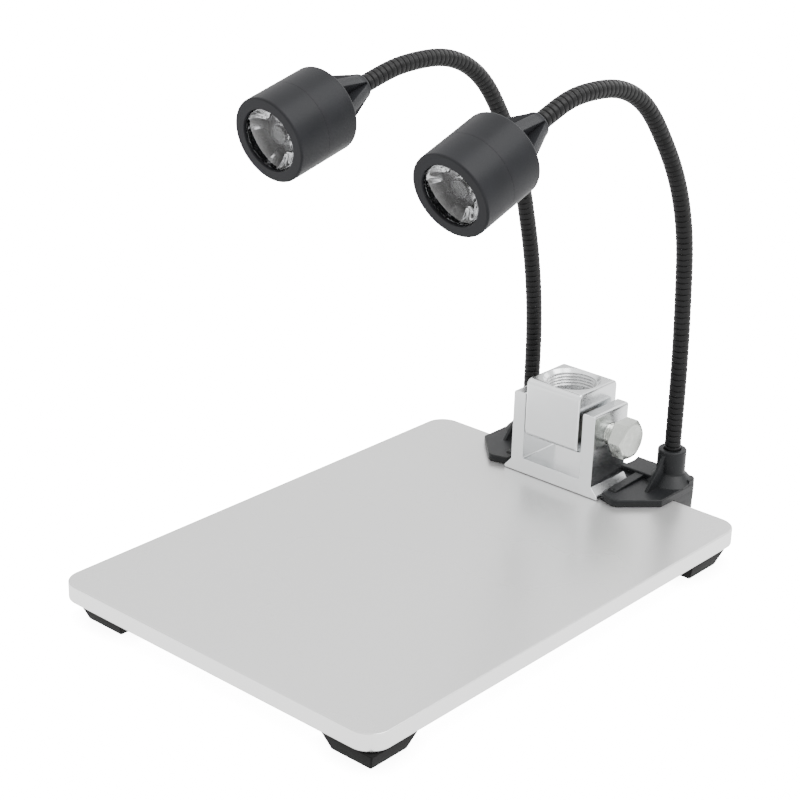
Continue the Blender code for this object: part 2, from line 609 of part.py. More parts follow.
def build_mount():
    """Raised forms are joined oversize and then trimmed to the outline, so that they share its walls."""
    past = MOUNT_WIDTH
    place = Matrix.Translation((0.0, PLATE_REAR, PLATE_TOP))
    buried = MOUNT_FLOOR / 2
    mesh = block(-past, past, -past, past, SEAT_GAP, MOUNT_FLOOR)
    mount = piece("lamp_mount", mesh, MOULDING_FINISH, pose=place)
    hanger = block(-past, past, SEAT_GAP, past, -MOUNT_DROP, buried)
    shape(mount, "join_mount_hanger", hanger, "UNION")
    for name, side in SIDES.items():
        reach = sorted((side * BRACKET_TOE_WIDTH / 2, side * (MOUNT_INSIDE + RIDGE_WIDTH)))
        ridge_back = BAND_BACK + RIDGE_WIDTH
        ridge = (
            (-RIDGE_FRONT, buried),
            (ridge_back, buried),
            (ridge_back, RIDGE_BACK_HEIGHT),
            (-RIDGE_FRONT, RIDGE_FRONT_HEIGHT),
        )
        shape(mount, f"join_mount_ridge_{name}", prism(ridge, *reach, along_x), "UNION")
        reach = sorted((side * BOSS_DIAMETER, side * TUBE_OUT))
        band = block(*reach, BAND_BACK, past, buried, MOUNT_RIM)
        shape(mount, f"join_mount_band_{name}", band, "UNION")
        reach = sorted((side * (TUBE_OUT - TUBE_DIAMETER / 4), side * past))
        band = block(*reach, OUTER_BAND_BACK, past, buried, MOUNT_RIM)
        shape(mount, f"join_mount_outer_band_{name}", band, "UNION")
        tube = turned(
            (
                (buried, CONE_DIAMETER / 2),
                (MOUNT_FLOOR, CONE_DIAMETER / 2),
                (CONE_TOP, TUBE_DIAMETER / 2),
                (TUBE_TOP - TUBE_CHAMFER, TUBE_DIAMETER / 2),
                (TUBE_TOP, TUBE_DIAMETER / 2 - TUBE_CHAMFER),
            ),
            ROUND_SIDES,
        )
        shifted(tube, side * TUBE_OUT, TUBE_BACK, 0.0)
        shape(mount, f"join_mount_tube_{name}", tube, "UNION")
        gusset = (
            (-GUSSET_FRONT, buried),
            (TUBE_BACK, buried),
            (TUBE_BACK, GUSSET_TOP),
            (TUBE_BACK - TUBE_DIAMETER / 2, GUSSET_TOP),
        )
        reach = (side * TUBE_OUT - GUSSET_THICKNESS / 2, side * TUBE_OUT + GUSSET_THICKNESS / 2)
        shape(mount, f"join_mount_gusset_{name}", prism(gusset, *reach, along_x), "UNION")
    shape(mount, "trim_mount", prism(mount_outline(), -past, past, along_z), "INTERSECT")
    bay = block(-MOUNT_INSIDE, MOUNT_INSIDE, -past, MOUNT_BRACKET_GAP, 0.0, past)
    shape(mount, "cut_mount_bay", bay, "DIFFERENCE")
    notch = turned(((MOUNT_BRIDGE, NOTCH_RADIUS), (past, NOTCH_RADIUS)), BORE_SIDES)
    shape(mount, "cut_mount_notch", shifted(notch, 0.0, NOTCH_BACK, 0.0), "DIFFERENCE")
    wide = MOUNT_WIDTH / 2 - MOUNT_WALL
    front = SEAT_GAP + MOUNT_WALL
    back = MOUNT_OVERHANG - MOUNT_WALL
    cavity = block(-wide, wide, front, back, -2 * MOUNT_DROP, -MOUNT_ROOF)
    shape(mount, "cut_mount_cavity", cavity, "DIFFERENCE")
    middle = (front + back) / 2
    cover_top = COVER_THICKNESS - MOUNT_DROP
    boss_end = cover_top + SEAT_GAP
    for name, side in SIDES.items():
        boss_radius = BOSS_DIAMETER / 2
        boss_out = side * BOSS_SPACING / 2
        boss = turned(((boss_end, boss_radius), (SEAT_GAP - MOUNT_ROOF, boss_radius)), SCREW_SIDES)
        shape(mount, f"join_mount_boss_{name}", shifted(boss, boss_out, middle, 0.0), "UNION")
        depth = COVER_SCREW_BITE + 2 * SEAT_GAP
        hole = turned(((boss_end - depth, SMALL_HOLE), (boss_end + depth, SMALL_HOLE)), SCREW_SIDES)
        shape(mount, f"cut_mount_boss_{name}", shifted(hole, boss_out, middle, 0.0), "DIFFERENCE")
        seat = HOSE_DIAMETER / 2 + TURN_GAP
        floor = TUBE_TOP - HOSE_SEAT - SEAT_GAP
        bore = turned(
            ((-2 * MOUNT_ROOF, WIRE_HOLE / 2), (floor, WIRE_HOLE / 2), (floor, seat), (2 * TUBE_TOP, seat)),
            ROUND_SIDES,
        )
        shape(mount, f"cut_mount_bore_{name}", shifted(bore, side * TUBE_OUT, TUBE_BACK, 0.0), "DIFFERENCE")
        depth = MOUNT_SCREW_BITE + 2 * SEAT_GAP
        hole = turned(((-depth, SMALL_HOLE), (depth, SMALL_HOLE)), SCREW_SIDES)
        shifted(hole, side * MOUNT_SCREW_OUT, -MOUNT_SCREW_FRONT, 0.0)
        shape(mount, f"cut_mount_screw_{name}", hole, "DIFFERENCE")
        face = PLATE_BOTTOM + SEAT_GAP
        length = PLATE_TOP + MOUNT_SCREW_BITE - face
        at = Matrix.Translation((side * MOUNT_SCREW_OUT, PLATE_REAR - MOUNT_SCREW_FRONT, face))
        piece(f"mount_screw_{name}", small_screw(length), STEEL_FINISH, pose=at)
    lead = GROMMET_DIAMETER / 2
    hole = laid_along_y(turned(((-MOUNT_WALL, lead), (MOUNT_WALL, lead)), SCREW_SIDES))
    shape(mount, "cut_mount_lead", shifted(hole, 0.0, MOUNT_OVERHANG, -GROMMET_DOWN), "DIFFERENCE")
    build_mount_inside(place, wide, front, back, middle)


def build_mount_inside(place, wide, front, back, middle):
    """The cover with its screws, the junction board and the lead's grommet."""
    cover_bottom = -MOUNT_DROP
    cover_half = wide - SEAT_GAP
    cover_y = (front + SEAT_GAP, back - SEAT_GAP)
    mesh = block(-cover_half, cover_half, *cover_y, cover_bottom, cover_bottom + COVER_THICKNESS)
    cover = piece("mount_cover", mesh, MOULDING_FINISH, pose=place, smooth=False)
    for name, side in SIDES.items():
        hole = turned(((-2 * MOUNT_DROP, SMALL_HOLE), (0.0, SMALL_HOLE)), SCREW_SIDES)
        shape(cover, f"cut_cover_{name}", shifted(hole, side * BOSS_SPACING / 2, middle, 0.0), "DIFFERENCE")
        face = cover_bottom - SEAT_GAP - SCREW_HEAD_HEIGHT
        length = SCREW_HEAD_HEIGHT + 2 * SEAT_GAP + COVER_THICKNESS + COVER_SCREW_BITE
        at = place @ Matrix.Translation((side * BOSS_SPACING / 2, middle, face))
        piece(f"cover_screw_{name}", small_screw(length), STEEL_FINISH, pose=at)
    top = -MOUNT_ROOF - SEAT_GAP
    half = BOARD_WIDTH / 2
    board = block(-half, half, middle - BOARD_DEPTH / 2, middle + BOARD_DEPTH / 2, top - BOARD_THICKNESS, top)
    piece("junction_board", board, CIRCUIT_FINISH, pose=place, smooth=False)
    body = GROMMET_DIAMETER / 2 - SEAT_GAP
    profile = (
        (-MOUNT_WALL, GROMMET_BORE / 2),
        (-MOUNT_WALL, body),
        (SEAT_GAP, body),
        (SEAT_GAP, GROMMET_FLANGE / 2),
        (GROMMET_OUT, GROMMET_FLANGE / 2),
        (GROMMET_OUT, GROMMET_BORE / 2),
    )
    mesh = laid_along_y(turned(profile, SCREW_SIDES, hollow=True))
    at = place @ Matrix.Translation((0.0, MOUNT_OVERHANG, -GROMMET_DOWN))
    piece("lead_grommet", mesh, RUBBER_FINISH, pose=at)


def stretches(lengths, turns):
    """Straight and curved stretches of a hose. Both its ends and every pivot lie on straight ones."""
    found = [(HOSE_SEAT + HOSE_STUB, 0.0)]
    for length, turn in zip(lengths, turns):
        found.append((HOSE_DIAMETER, 0.0))
        found.append((length - 2 * HOSE_DIAMETER, math.radians(turn)))
        found.append((HOSE_DIAMETER, 0.0))
    found.append((HOSE_TIP + HOSE_SEAT, 0.0))
    return found


def walk(course, distance):
    """How far forward and up a hose has come after distance along it, and how far it then leans."""
    forward = 0.0
    rise = 0.0
    lean = 0.0
    left = distance
    for length, turn in course:
        step = min(left, length)
        bend = turn * step / length
        chord = step * math.sin(bend / 2) / (bend / 2) if bend else step
        forward += chord * math.sin(lean + bend / 2)
        rise += chord * math.cos(lean + bend / 2)
        lean += bend
        left -= step
    return forward, rise, lean


def hose_profile(start, end, cup, ball):
    """Points of one hose length: cup or plain end, ribs, ball or plain end, then back down the bore."""
    bore = HOSE_BORE / 2
    crest = HOSE_DIAMETER / 2
    groove = HOSE_GROOVE / 2
    profile = []
    first = start
    if cup:
        reach = CUP_DIAMETER / 2
        low = math.asin(bore / reach)
        high = math.acos(CUP_LIP / reach)
        for step in range(3):
            angle = low + (high - low) * step / 2
            profile.append((start + reach * math.cos(angle), reach * math.sin(angle)))
        first = start + CUP_LIP
    else:
        profile.append((start, bore))
    inner_start = profile[0][0]
    profile.append((first, crest))
    reach = BALL_DIAMETER / 2
    last = end - CUP_LIP if ball else end
    count = max(1, int((last - first) / RIB_PITCH))
    pitch = (last - first) / count
    for rib in range(count):
        profile.append((first + pitch * (rib + 0.5), groove))
        profile.append((first + pitch * (rib + 1), crest))
    if ball:
        profile.append((last, min(groove, reach)))
        low = math.asin(bore / reach)
        for step in range(3):
            angle = math.pi / 2 + (low - math.pi / 2) * step / 2
            profile.append((end + reach * math.cos(angle), reach * math.sin(angle)))
    else:
        profile.append((end, bore))
    inner_end = profile[-1][0]
    steps = max(1, int((inner_end - inner_start) / BORE_STEP))
    for step in range(1, steps):
        profile.append((inner_end + (inner_start - inner_end) * step / steps, bore))
    return profile


def build_arm(arm):
    """Six hose lengths with five pivots between them, then the lamp on the last one."""
    side, lengths, turns = ARMS[arm]
    course = stretches(lengths, turns)

    def frame(distance):
        forward, rise, lean = walk(course, distance)
        centre = Vector((side * TUBE_OUT, TUBE_Y - forward, HOSE_FOOT + rise))
        return centre, Vector((1.0, 0.0, 0.0)), Vector((0.0, math.cos(lean), math.sin(lean)))

    marks = [0.0, HOSE_SEAT + HOSE_STUB]
    for length in lengths:
        marks.append(marks[-1] + length)
    marks.append(marks[-1] + HOSE_TIP + HOSE_SEAT)
    carrier = None
    for index, name in enumerate(HOSE_NAMES):
        start = marks[index]
        end = marks[index + 1]
        if index:
            carrier = pivot(f"{arm}_{PIVOT_NAMES[index - 1]}", frame(start)[0], carrier)
        profile = hose_profile(start, end, index > 0, index < len(HOSE_NAMES) - 1)
        mesh = turned(profile, HOSE_SIDES, hollow=True, frame=frame)
        piece(f"{arm}_hose_{name}", mesh, HOSE_FINISH, carrier)
    lean = walk(course, marks[-1])[2]
    tip = frame(marks[-1] - HOSE_SEAT - SEAT_GAP)[0]
    build_lamp(arm, carrier, Matrix.Translation(tip) @ Matrix.Rotation(lean, 4, "X"))


def neck_ring(along, fin, core):
    """A ring of the finned neck: each fin keeps its width, and its foot meets the core."""
    ring = []
    for index in range(FIN_COUNT):
        middle = 2 * math.pi * index / FIN_COUNT
        for radius, hand in ((core, -1), (fin, -1), (fin, 1), (core, 1)):
            angle = middle + hand * math.asin(min(1.0, FIN_WIDTH / 2 / max(radius, NECK_CORE_DIAMETER / 2)))
            ring.append(Vector((radius * math.cos(angle), radius * math.sin(angle), along)))
    return ring


def plain_neck_ring(along, radius):
    """A round ring with as many points as a finned one."""
    ring = []
    count = 4 * FIN_COUNT
    for index in range(count):
        angle = 2 * math.pi * (index - 1.5) / count
        ring.append(Vector((radius * math.cos(angle), radius * math.sin(angle), along)))
    return ring


def build_lamp(arm, carrier, pose):
    """Each piece is made along the lamp's own axis, from the neck's tip forward, and placed by pose."""

    def add(name, mesh, material):
        piece(f"{arm}_{name}", mesh, material, carrier, pose)

    core = NECK_CORE_DIAMETER / 2
    tip = NECK_TIP_DIAMETER / 2
    base = NECK_BASE_DIAMETER / 2
    seat = HOSE_DIAMETER / 2 + TURN_GAP
    seat_end = HOSE_SEAT + 2 * SEAT_GAP
    spigot_end = NECK_LENGTH + NECK_SPIGOT
    rings = [plain_neck_ring(0.0, tip), plain_neck_ring(NECK_TIP_LENGTH, tip)]
    rings.append(neck_ring(NECK_TIP_LENGTH + (base - core) * 0.1, core + (base - core) * 0.1, core))
    rings.append(neck_ring(NECK_LENGTH - FIN_WIDTH / 4, base, core))
    rings.append(neck_ring(NECK_LENGTH, base, core))
    rings.append(plain_neck_ring(NECK_LENGTH, core))
    rings.append(plain_neck_ring(spigot_end, core))
    rings.append(plain_neck_ring(spigot_end, WIRE_HOLE / 2))
    rings.append(plain_neck_ring(seat_end, WIRE_HOLE / 2))
    rings.append(plain_neck_ring(seat_end, seat))
    rings.append(plain_neck_ring(0.0, seat))
    add("lamp_neck", skin(rings, True), MOULDING_FINISH)

    outer = SHELL_DIAMETER / 2
    inner = outer - SHELL_WALL
    seam = SHELL_BACK + SHELL_SEAM
    spigot = inner - SEAT_GAP
    rear = (
        (SHELL_BACK, core + TURN_GAP),
        (SHELL_BACK, outer - SHELL_EDGE),
        (SHELL_BACK + SHELL_EDGE, outer),
        (seam, outer),
        (seam, spigot),
        (seam + SPIGOT_LENGTH, spigot),
        (seam + SPIGOT_LENGTH, spigot - SPIGOT_WALL),
        (seam - SPIGOT_ROOT, spigot - SPIGOT_WALL),
        (seam - SPIGOT_ROOT - SPIGOT_WALL, inner),
        (SHELL_BACK + SHELL_WALL, inner),
        (SHELL_BACK + SHELL_WALL, core + TURN_GAP),
    )
    add("rear_shell", turned(rear, ROUND_SIDES, hollow=True), MOULDING_FINISH)

    front_end = SHELL_BACK + SHELL_LENGTH
    lip = front_end - RIM_THICKNESS
    aperture = RIM_APERTURE / 2
    front = (
        (seam + SEAT_GAP, outer),
        (front_end - SHELL_EDGE, outer),
        (front_end, outer - SHELL_EDGE),
        (front_end, aperture),
        (lip, aperture),
        (lip, inner),
        (seam + SEAT_GAP, inner),
    )
    add("front_shell", turned(front, ROUND_SIDES, hollow=True), MOULDING_FINISH)

    face = lip - SEAT_GAP
    flange_back = face - LENS_FLANGE
    lens_back = face - LENS_DEPTH
    lens = (
        (lens_back + LENS_POCKET, LENS_POCKET_DIAMETER / 2),
        (lens_back, LENS_POCKET_DIAMETER / 2),
        (lens_back, LENS_SMALL_DIAMETER / 2),
        (flange_back, aperture - SEAT_GAP),
        (flange_back, LENS_FLANGE_DIAMETER / 2),
        (face, LENS_FLANGE_DIAMETER / 2),
    )
    add("lens", turned(lens, ROUND_SIDES), LENS_FINISH)

    sink_back = SHELL_BACK + SHELL_WALL + SEAT_GAP
    sink_end = sink_back + HEAT_SINK_LENGTH
    board_back = sink_end + SEAT_GAP
    board_face = board_back + LED_BOARD_THICKNESS
    holder_outer = LENS_FLANGE_DIAMETER / 2
    holder_inner = holder_outer - HOLDER_WALL
    holder = (
        (board_face + SEAT_GAP, holder_inner),
        (board_face + SEAT_GAP, holder_outer),
        (flange_back - SEAT_GAP, holder_outer),
        (flange_back - SEAT_GAP, holder_inner),
    )
    add("lens_holder", turned(holder, SINK_SIDES, hollow=True), HOLDER_FINISH)

    disc = LED_BOARD_DIAMETER / 2
    add("led_board", turned(((board_back, disc), (board_face, disc)), SINK_SIDES), BOARD_FINISH)
    dome = LED_DOME_DIAMETER / 2
    led_top = board_face + SEAT_GAP + LED_BASE_HEIGHT
    led = [(board_face + SEAT_GAP, LED_DIAMETER / 2), (led_top, LED_DIAMETER / 2)]
    for step in range(3):
        angle = math.radians(75 * step / 2)
        led.append((led_top + dome * math.sin(angle) * 0.6, dome * math.cos(angle)))
    add("led", turned(led, SCREW_SIDES), LED_FINISH)

    sink = disc
    middle = (sink_back + sink_end) / 2
    groove = sink - HEAT_SINK_GROOVE
    half = HEAT_SINK_GROOVE / 2
    body = [(sink_back, HEAT_SINK_BORE / 2), (sink_back, sink)]
    for offset in (-2 * HEAT_SINK_GROOVE, 0.0, 2 * HEAT_SINK_GROOVE):
        body.append((middle + offset - half, sink))
        body.append((middle + offset - half, groove))
        body.append((middle + offset + half, groove))
        body.append((middle + offset + half, sink))
    body += [(sink_end, sink), (sink_end, HEAT_SINK_BORE / 2)]
    add("heat_sink", turned(body, SINK_SIDES, hollow=True), SINK_FINISH)


build_plate()
build_feet()
build_bracket()
build_socket()
build_bolt()
build_mount()
for arm_name in ARMS:
    build_arm(arm_name)
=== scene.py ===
"""Looks of the bench stand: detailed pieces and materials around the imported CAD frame.

Metres and degrees, +Z up, front towards -Y. Heights of the bracket, block and lamp mount are counted
from the plate's top, and depths of the lamp mount from the plate's rear edge, as in the CAD source.
"""

import math

import bmesh
import bpy
from mathutils import Matrix, Vector


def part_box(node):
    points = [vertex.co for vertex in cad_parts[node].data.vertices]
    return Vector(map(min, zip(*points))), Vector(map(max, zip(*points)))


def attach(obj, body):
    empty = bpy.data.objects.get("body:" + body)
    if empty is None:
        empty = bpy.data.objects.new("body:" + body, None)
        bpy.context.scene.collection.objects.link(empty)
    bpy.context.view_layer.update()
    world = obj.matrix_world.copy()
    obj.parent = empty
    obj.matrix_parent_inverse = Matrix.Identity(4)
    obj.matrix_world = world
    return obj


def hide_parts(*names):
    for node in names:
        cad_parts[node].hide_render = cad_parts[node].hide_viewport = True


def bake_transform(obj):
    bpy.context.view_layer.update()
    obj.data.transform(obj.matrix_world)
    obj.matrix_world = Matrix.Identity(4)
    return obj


# Plate and feet, as in the CAD
SEAT_GAP = 0.0003
PLATE_WIDTH = 0.180
PLATE_LENGTH = 0.250
PLATE_CORNER = 0.010
PLATE_BOTTOM = 0.0083
PLATE_TOP = 0.0163
PLATE_Y = -0.0100
PLATE_REAR = PLATE_Y + PLATE_LENGTH / 2
FOOT_TOP = 0.0265
FOOT_SOLE = 0.0204
FOOT_HEIGHT = 0.0080
FOOT_WELL_DEPTH = 0.0036

# Bracket, socket block and hinge bolt, as in the CAD
BRACKET_DEPTH = 0.0264
BRACKET_BOTTOM = PLATE_TOP + SEAT_GAP
BRACKET_Y = PLATE_REAR - BRACKET_DEPTH / 2
BRACKET_TOE = 0.0275
TOE_LIP = 0.0012
TOE_HEIGHT = 0.0055
BRACKET_SIDE = 0.02375
LEG_INSIDE = 0.01675
BRACKET_HEIGHT = 0.0410
BRACKET_WEB = 0.0075
HINGE = Vector((0.0, BRACKET_Y, PLATE_TOP + 0.0295))
BLOCK_SIDE = 0.01535
BLOCK_HALF_DEPTH = 0.0150
BLOCK_UP = 0.0205
BLOCK_DOWN = 0.0095
SOCKET_DEPTH = 0.0128
THREAD_MINOR = 0.01125
THREAD_MAJOR = 0.0120
THREAD_PITCH = 0.0015
MOUTH = 0.0136
BOLT_RADIUS = 0.0050
BOLT_FLAT = 0.0085
BOLT_HEAD = 0.0074
BOLT_STANDOFF = 0.0053

# Lamp mount, as in the CAD
MOUNT_SIDE = 0.0532
MOUNT_FRONT = 0.0266
MOUNT_BACK = 0.0185
MOUNT_NOSE = 0.0370
MOUNT_INSIDE = 0.0280
MOUNT_CORNER = 0.0030
NOSE_RAKE = 0.0028
MOUNT_FLOOR = 0.0036
MOUNT_RIM = 0.0062
MOUNT_DROP = 0.0095
MOUNT_BRIDGE = 0.0006
CHEEK_FOOT = -0.0030
CHEEK_TOP = 0.0022
GUSSET_SIDE = 0.0008
GUSSET_FRONT = 0.0100
GUSSET_TOP = 0.0180
GUSSET_TOP_BACK = 0.0048
NOTCH_RADIUS = 0.0200
NOTCH_BACK = 0.0120
RIDGE_SIDE = 0.0328
RIDGE_FRONT = 0.0190
RIDGE_FRONT_TOP = 0.0044
RIDGE_BACK_TOP = 0.0056
BAND_BACK = 0.0040
OUTER_BAND_BACK = 0.0120
TUBE_SIDE = 0.0425
TUBE_BACK = 0.0116
TUBE_RADIUS = 0.0068
TUBE_TOP = 0.0200
CONE_RADIUS = 0.0115
CONE_TOP = 0.0085

# Hoses, as in the CAD: each arm's side, lengths between its joints and turns of those lengths
HOSE_RADIUS = 0.0040
HOSE_SEAT = 0.0100
HOSE_STUB = 0.0140
HOSE_TIP = 0.0100
ARMS = {
    "right": (1, (0.0702, 0.0791, 0.0651, 0.0240), (4.6, 32.2, 52.2, 20.6)),
    "left": (-1, (0.0854, 0.0603, 0.0716, 0.0240), (15.3, 18.2, 56.7, 13.6)),
}
HOSES = (("stub", "riser"), ("shoulder",), ("crook",), ("wrist",), ("tip",))

# Lamps, as in the CAD
NECK_LENGTH = 0.0230
NECK_TIP = 0.0050
NECK_BASE = 0.0138
FIN_WIDTH = 0.0048
FIN_COUNT = 6
SHELL_RADIUS = 0.0185
SHELL_BACK = NECK_LENGTH + SEAT_GAP
SHELL_LENGTH = 0.0334
SHELL_SEAM = 0.0172
SHELL_WALL = 0.0020
APERTURE = 0.0133
RIM_DEPTH = 0.0025
LENS_RADIUS = 0.0146
LENS_FLANGE = 0.0015
LENS_DEPTH = 0.0090

# The photo's camera, solved from the plate's corners
CAMERA_PLACE = Vector((0.5004, -0.5961, 0.4105))
CAMERA_AZIMUTH = 41.0368
CAMERA_ELEVATION = 22.6902
CAMERA_ROLL = 1.6013
CAMERA_LENS = 88.20
CAMERA_NEAR = 0.01
SENSOR = 36.0

# Width of the flat strip beside a fillet as a share of its radius, and how much longer a side has to be
SUPPORT = 0.4
ROOM = 2.5
SLIVER = 2e-6
SMOOTH_ANGLE = 32

# Light: the surround's levels from straight below to straight above, with steps between, and soft boxes
GLOW = 18.0
# The floor's painted contact shadow: how far it looks for something above, the share of the glow left
# where it is darkest, the span of occlusion it is spread over, and its samples
CONTACT = 0.010
CONTACT_SHARE = 0.60
CONTACT_SPAN = (0.35, 0.97)
CONTACT_SAMPLES = 16
SURROUND_STRENGTH = 2.75
SURROUND_STEPS = (0.34, 0.47, 0.62)
SURROUND_LEVELS = (0.18, 1.00, 0.58, 0.52, 0.82)
LIGHT_AIM = (0.0, 0.0, 0.15)
SOFT_LIGHTS = (
    {"name": "overhead", "place": (0.77, 0.36, 1.45), "size": 1.2, "power": 26.0},
    {"name": "back", "place": (0.0, 1.70, 0.75), "size": 0.9, "power": 6.0},
)
FLOOR_HALF = 6.0
BACKDROP_RADIUS = 5.5

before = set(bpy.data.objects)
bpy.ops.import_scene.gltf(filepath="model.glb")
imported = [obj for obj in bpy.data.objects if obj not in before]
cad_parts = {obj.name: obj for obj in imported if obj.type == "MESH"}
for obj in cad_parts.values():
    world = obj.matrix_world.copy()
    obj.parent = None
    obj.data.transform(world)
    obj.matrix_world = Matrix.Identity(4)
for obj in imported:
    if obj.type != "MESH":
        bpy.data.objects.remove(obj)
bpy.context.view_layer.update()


def between(first, last, share):
    return first + (last - first) * share


def corner_arc(centre, radius, start, end, steps):
    """Points of an arc between two angles in degrees."""
    points = []
    for step in range(steps + 1):
        angle = math.radians(between(start, end, step / steps))
        points.append((centre[0] + radius * math.cos(angle), centre[1] + radius * math.sin(angle)))
    return points


def rounded(width, length, radius, steps):
    """A rectangle about the origin with round corners, anticlockwise."""
    side = width / 2 - radius
    end = length / 2 - radius
    points = corner_arc((side, end), radius, 0, 90, steps)
    points += corner_arc((-side, end), radius, 90, 180, steps)
    points += corner_arc((-side, -end), radius, 180, 270, steps)
    return points + corner_arc((side, -end), radius, 270, 360, steps)


def eased(points, steps=4):
    """A polyline from (a, b, radius) points with each corner rounded by its radius.

    Where there is room, a point before and after each arc keeps its shading off the straights.
    """
    found = []
    for index, (a, b, radius) in enumerate(points):
        here = Vector((a, b))
        if radius == 0 or index in (0, len(points) - 1):
            found.append((a, b))
            continue
        to_before = Vector(points[index - 1][:2]) - here
        to_after = Vector(points[index + 1][:2]) - here
        before = to_before.normalized()
        after = to_after.normalized()
        half = before.angle(after) / 2
        reach = radius / math.tan(half)
        support = reach + SUPPORT * radius
        centre = here + (before + after).normalized() * (radius / math.sin(half))
        first = here + before * reach - centre
        last = here + after * reach - centre
        turn = first.angle_signed(last)
        if to_before.length > ROOM * support:
            found.append(tuple(here + before * support))
        for step in range(steps + 1):
            spot = first.copy()
            spot.rotate(Matrix.Rotation(-turn * step / steps, 2))
            found.append(tuple(centre + spot))
        if to_after.length > ROOM * support:
            found.append(tuple(here + after * support))
    return found


def eased_loop(points, steps=4):
    """As eased, for a closed outline."""
    ring = [points[-1], *points, points[0]]
    return eased(ring, steps)[1:-1]


def inset(outline, distance):
    """An anticlockwise outline moved inwards by distance."""
    found = []
    count = len(outline)
    for index in range(count):
        here = Vector(outline[index])
        into = (here - Vector(outline[index - 1])).normalized()
        out = (Vector(outline[(index + 1) % count]) - here).normalized()
        first = Vector((-into.y, into.x))
        second = Vector((-out.y, out.x))
        found.append(tuple(here + (first + second) * (distance / (1 + first.dot(second)))))
    return found


def skin(rings, hollow=False):
    """A closed surface through rings of equal point count: capped, or joined end to end if hollow."""
    mesh = bmesh.new()
    made = [[mesh.verts.new(point) for point in ring] for ring in rings]
    count = len(made[0])
    for index in range(len(made) if hollow else len(made) - 1):
        low = made[index]
        high = made[(index + 1) % len(made)]
        for corner in range(count):
            after = (corner + 1) % count
            mesh.faces.new((low[corner], low[after], high[after], high[corner]))
    if not hollow:
        mesh.faces.new(reversed(made[0]))
        mesh.faces.new(made[-1])
    bmesh.ops.recalc_face_normals(mesh, faces=mesh.faces)
    return mesh


def ring_of(along, count, radius_at):
    """A ring about Z whose radius follows its angle."""
    ring = []
    for step in range(count):
        angle = 2 * math.pi * step / count
        radius = radius_at(angle)
        ring.append(Vector((radius * math.cos(angle), radius * math.sin(angle), along)))
    return ring


def circle(along, radius, count):
    return ring_of(along, count, lambda angle: radius)


def hexagon_radius(flat, angle):
    """How far a hexagon reaches at an angle from the middle of one of its flats."""
    sixth = math.pi / 3
    return flat / math.cos((angle + sixth / 2) % sixth - sixth / 2)


def tooth(along, angle, pitch):
    """How high a helical thread stands at an angle and a place along it, from 0 to 1."""
    return abs(2 * ((along / pitch + angle / (2 * math.pi)) % 1.0) - 1)


def upright(along):
    """The path of a form about Z: its centre and two directions across it."""
    return Vector((0.0, 0.0, along)), Vector((1.0, 0.0, 0.0)), Vector((0.0, 1.0, 0.0))


def turned(profile, sides, hollow=False, path=upright):
    """A turned form from (along, radius) points about Z, or swept along another path."""
    rings = []
    for along, radius in profile:
        centre, across, over = path(along)
        ring = []
        for step in range(sides):
            angle = 2 * math.pi * step / sides
            ring.append(centre + radius * (math.cos(angle) * across + math.sin(angle) * over))
        rings.append(ring)
    return skin(rings, hollow)


def along_x(a, b, along):
    return Vector((along, a, b))


def along_y(a, b, along):
    return Vector((-a, along, b))


def along_z(a, b, along):
    return Vector((a, b, along))


def level(outline, height, distance=0.0, lift=along_z):
    """A ring at a height from an outline that is moved inwards by distance."""
    ring = inset(outline, distance) if abs(distance) > SLIVER else outline
    return [lift(a, b, height) for a, b in ring]


def end_stations(end, edge, steps):
    """(height, inset) pairs of a rounded end, from its flat face to its wall, with support rings."""
    inward = 1 if edge > 0 else -1
    edge = abs(edge)
    stations = [(end, edge * (1 + SUPPORT))]
    for step in range(steps + 1):
        angle = math.pi / 2 * step / steps
        height = end + inward * edge * (1 - math.cos(angle))
        stations.append((height, edge * (1 - math.sin(angle))))
    stations.append((end + inward * edge * (1 + SUPPORT), 0.0))
    return stations


def slab(outline, low, high, edge=0.0, lift=along_z, steps=3, low_edge=None):
    """A prism of an anticlockwise outline, its ends rounded by edge, or the lower one by low_edge."""
    low_edge = edge if low_edge is None else low_edge
    stations = end_stations(low, low_edge, steps) if low_edge else [(low, 0.0)]
    stations += list(reversed(end_stations(high, -edge, steps))) if edge else [(high, 0.0)]
    return skin([level(outline, height, distance, lift) for height, distance in stations])


def moved(mesh, matrix):
    bmesh.ops.transform(mesh, matrix=matrix, verts=mesh.verts)
    return mesh


def shifted(mesh, x, y, z):
    return moved(mesh, Matrix.Translation((x, y, z)))


def laid_along_x(mesh):
    """A form about Z turned to lie about X, with its start towards Y."""
    return moved(mesh, Matrix(((0, 0, 1, 0), (1, 0, 0, 0), (0, 1, 0, 0), (0, 0, 0, 1))))


def laid_along_y(mesh):
    return moved(mesh, Matrix.Rotation(-math.pi / 2, 4, "X"))


def reflected(mesh):
    """A copy of the mesh on the other side of the middle."""
    other = mesh.copy()
    bmesh.ops.scale(other, vec=(-1.0, 1.0, 1.0), verts=other.verts)
    bmesh.ops.reverse_faces(other, faces=other.faces)
    return other


def linked(name, mesh):
    """A new object in the scene with the mesh as its data."""
    data = bpy.data.meshes.new(name)
    mesh.to_mesh(data)
    mesh.free()
    made = bpy.data.objects.new(name, data)
    bpy.context.scene.collection.objects.link(made)
    return made


def piece(name, mesh, material, body, nodes=(), sharp=SMOOTH_ANGLE):
    """A finished piece: shaded, painted, riding on its body and standing for its CAD nodes."""
    made = linked(name, mesh)
    made.data.materials.append(material)
    made.data.shade_smooth()
    made.data.set_sharp_from_angle(angle=math.radians(sharp))
    if body:
        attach(made, body)
    if nodes:
        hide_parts(*nodes)
    return made


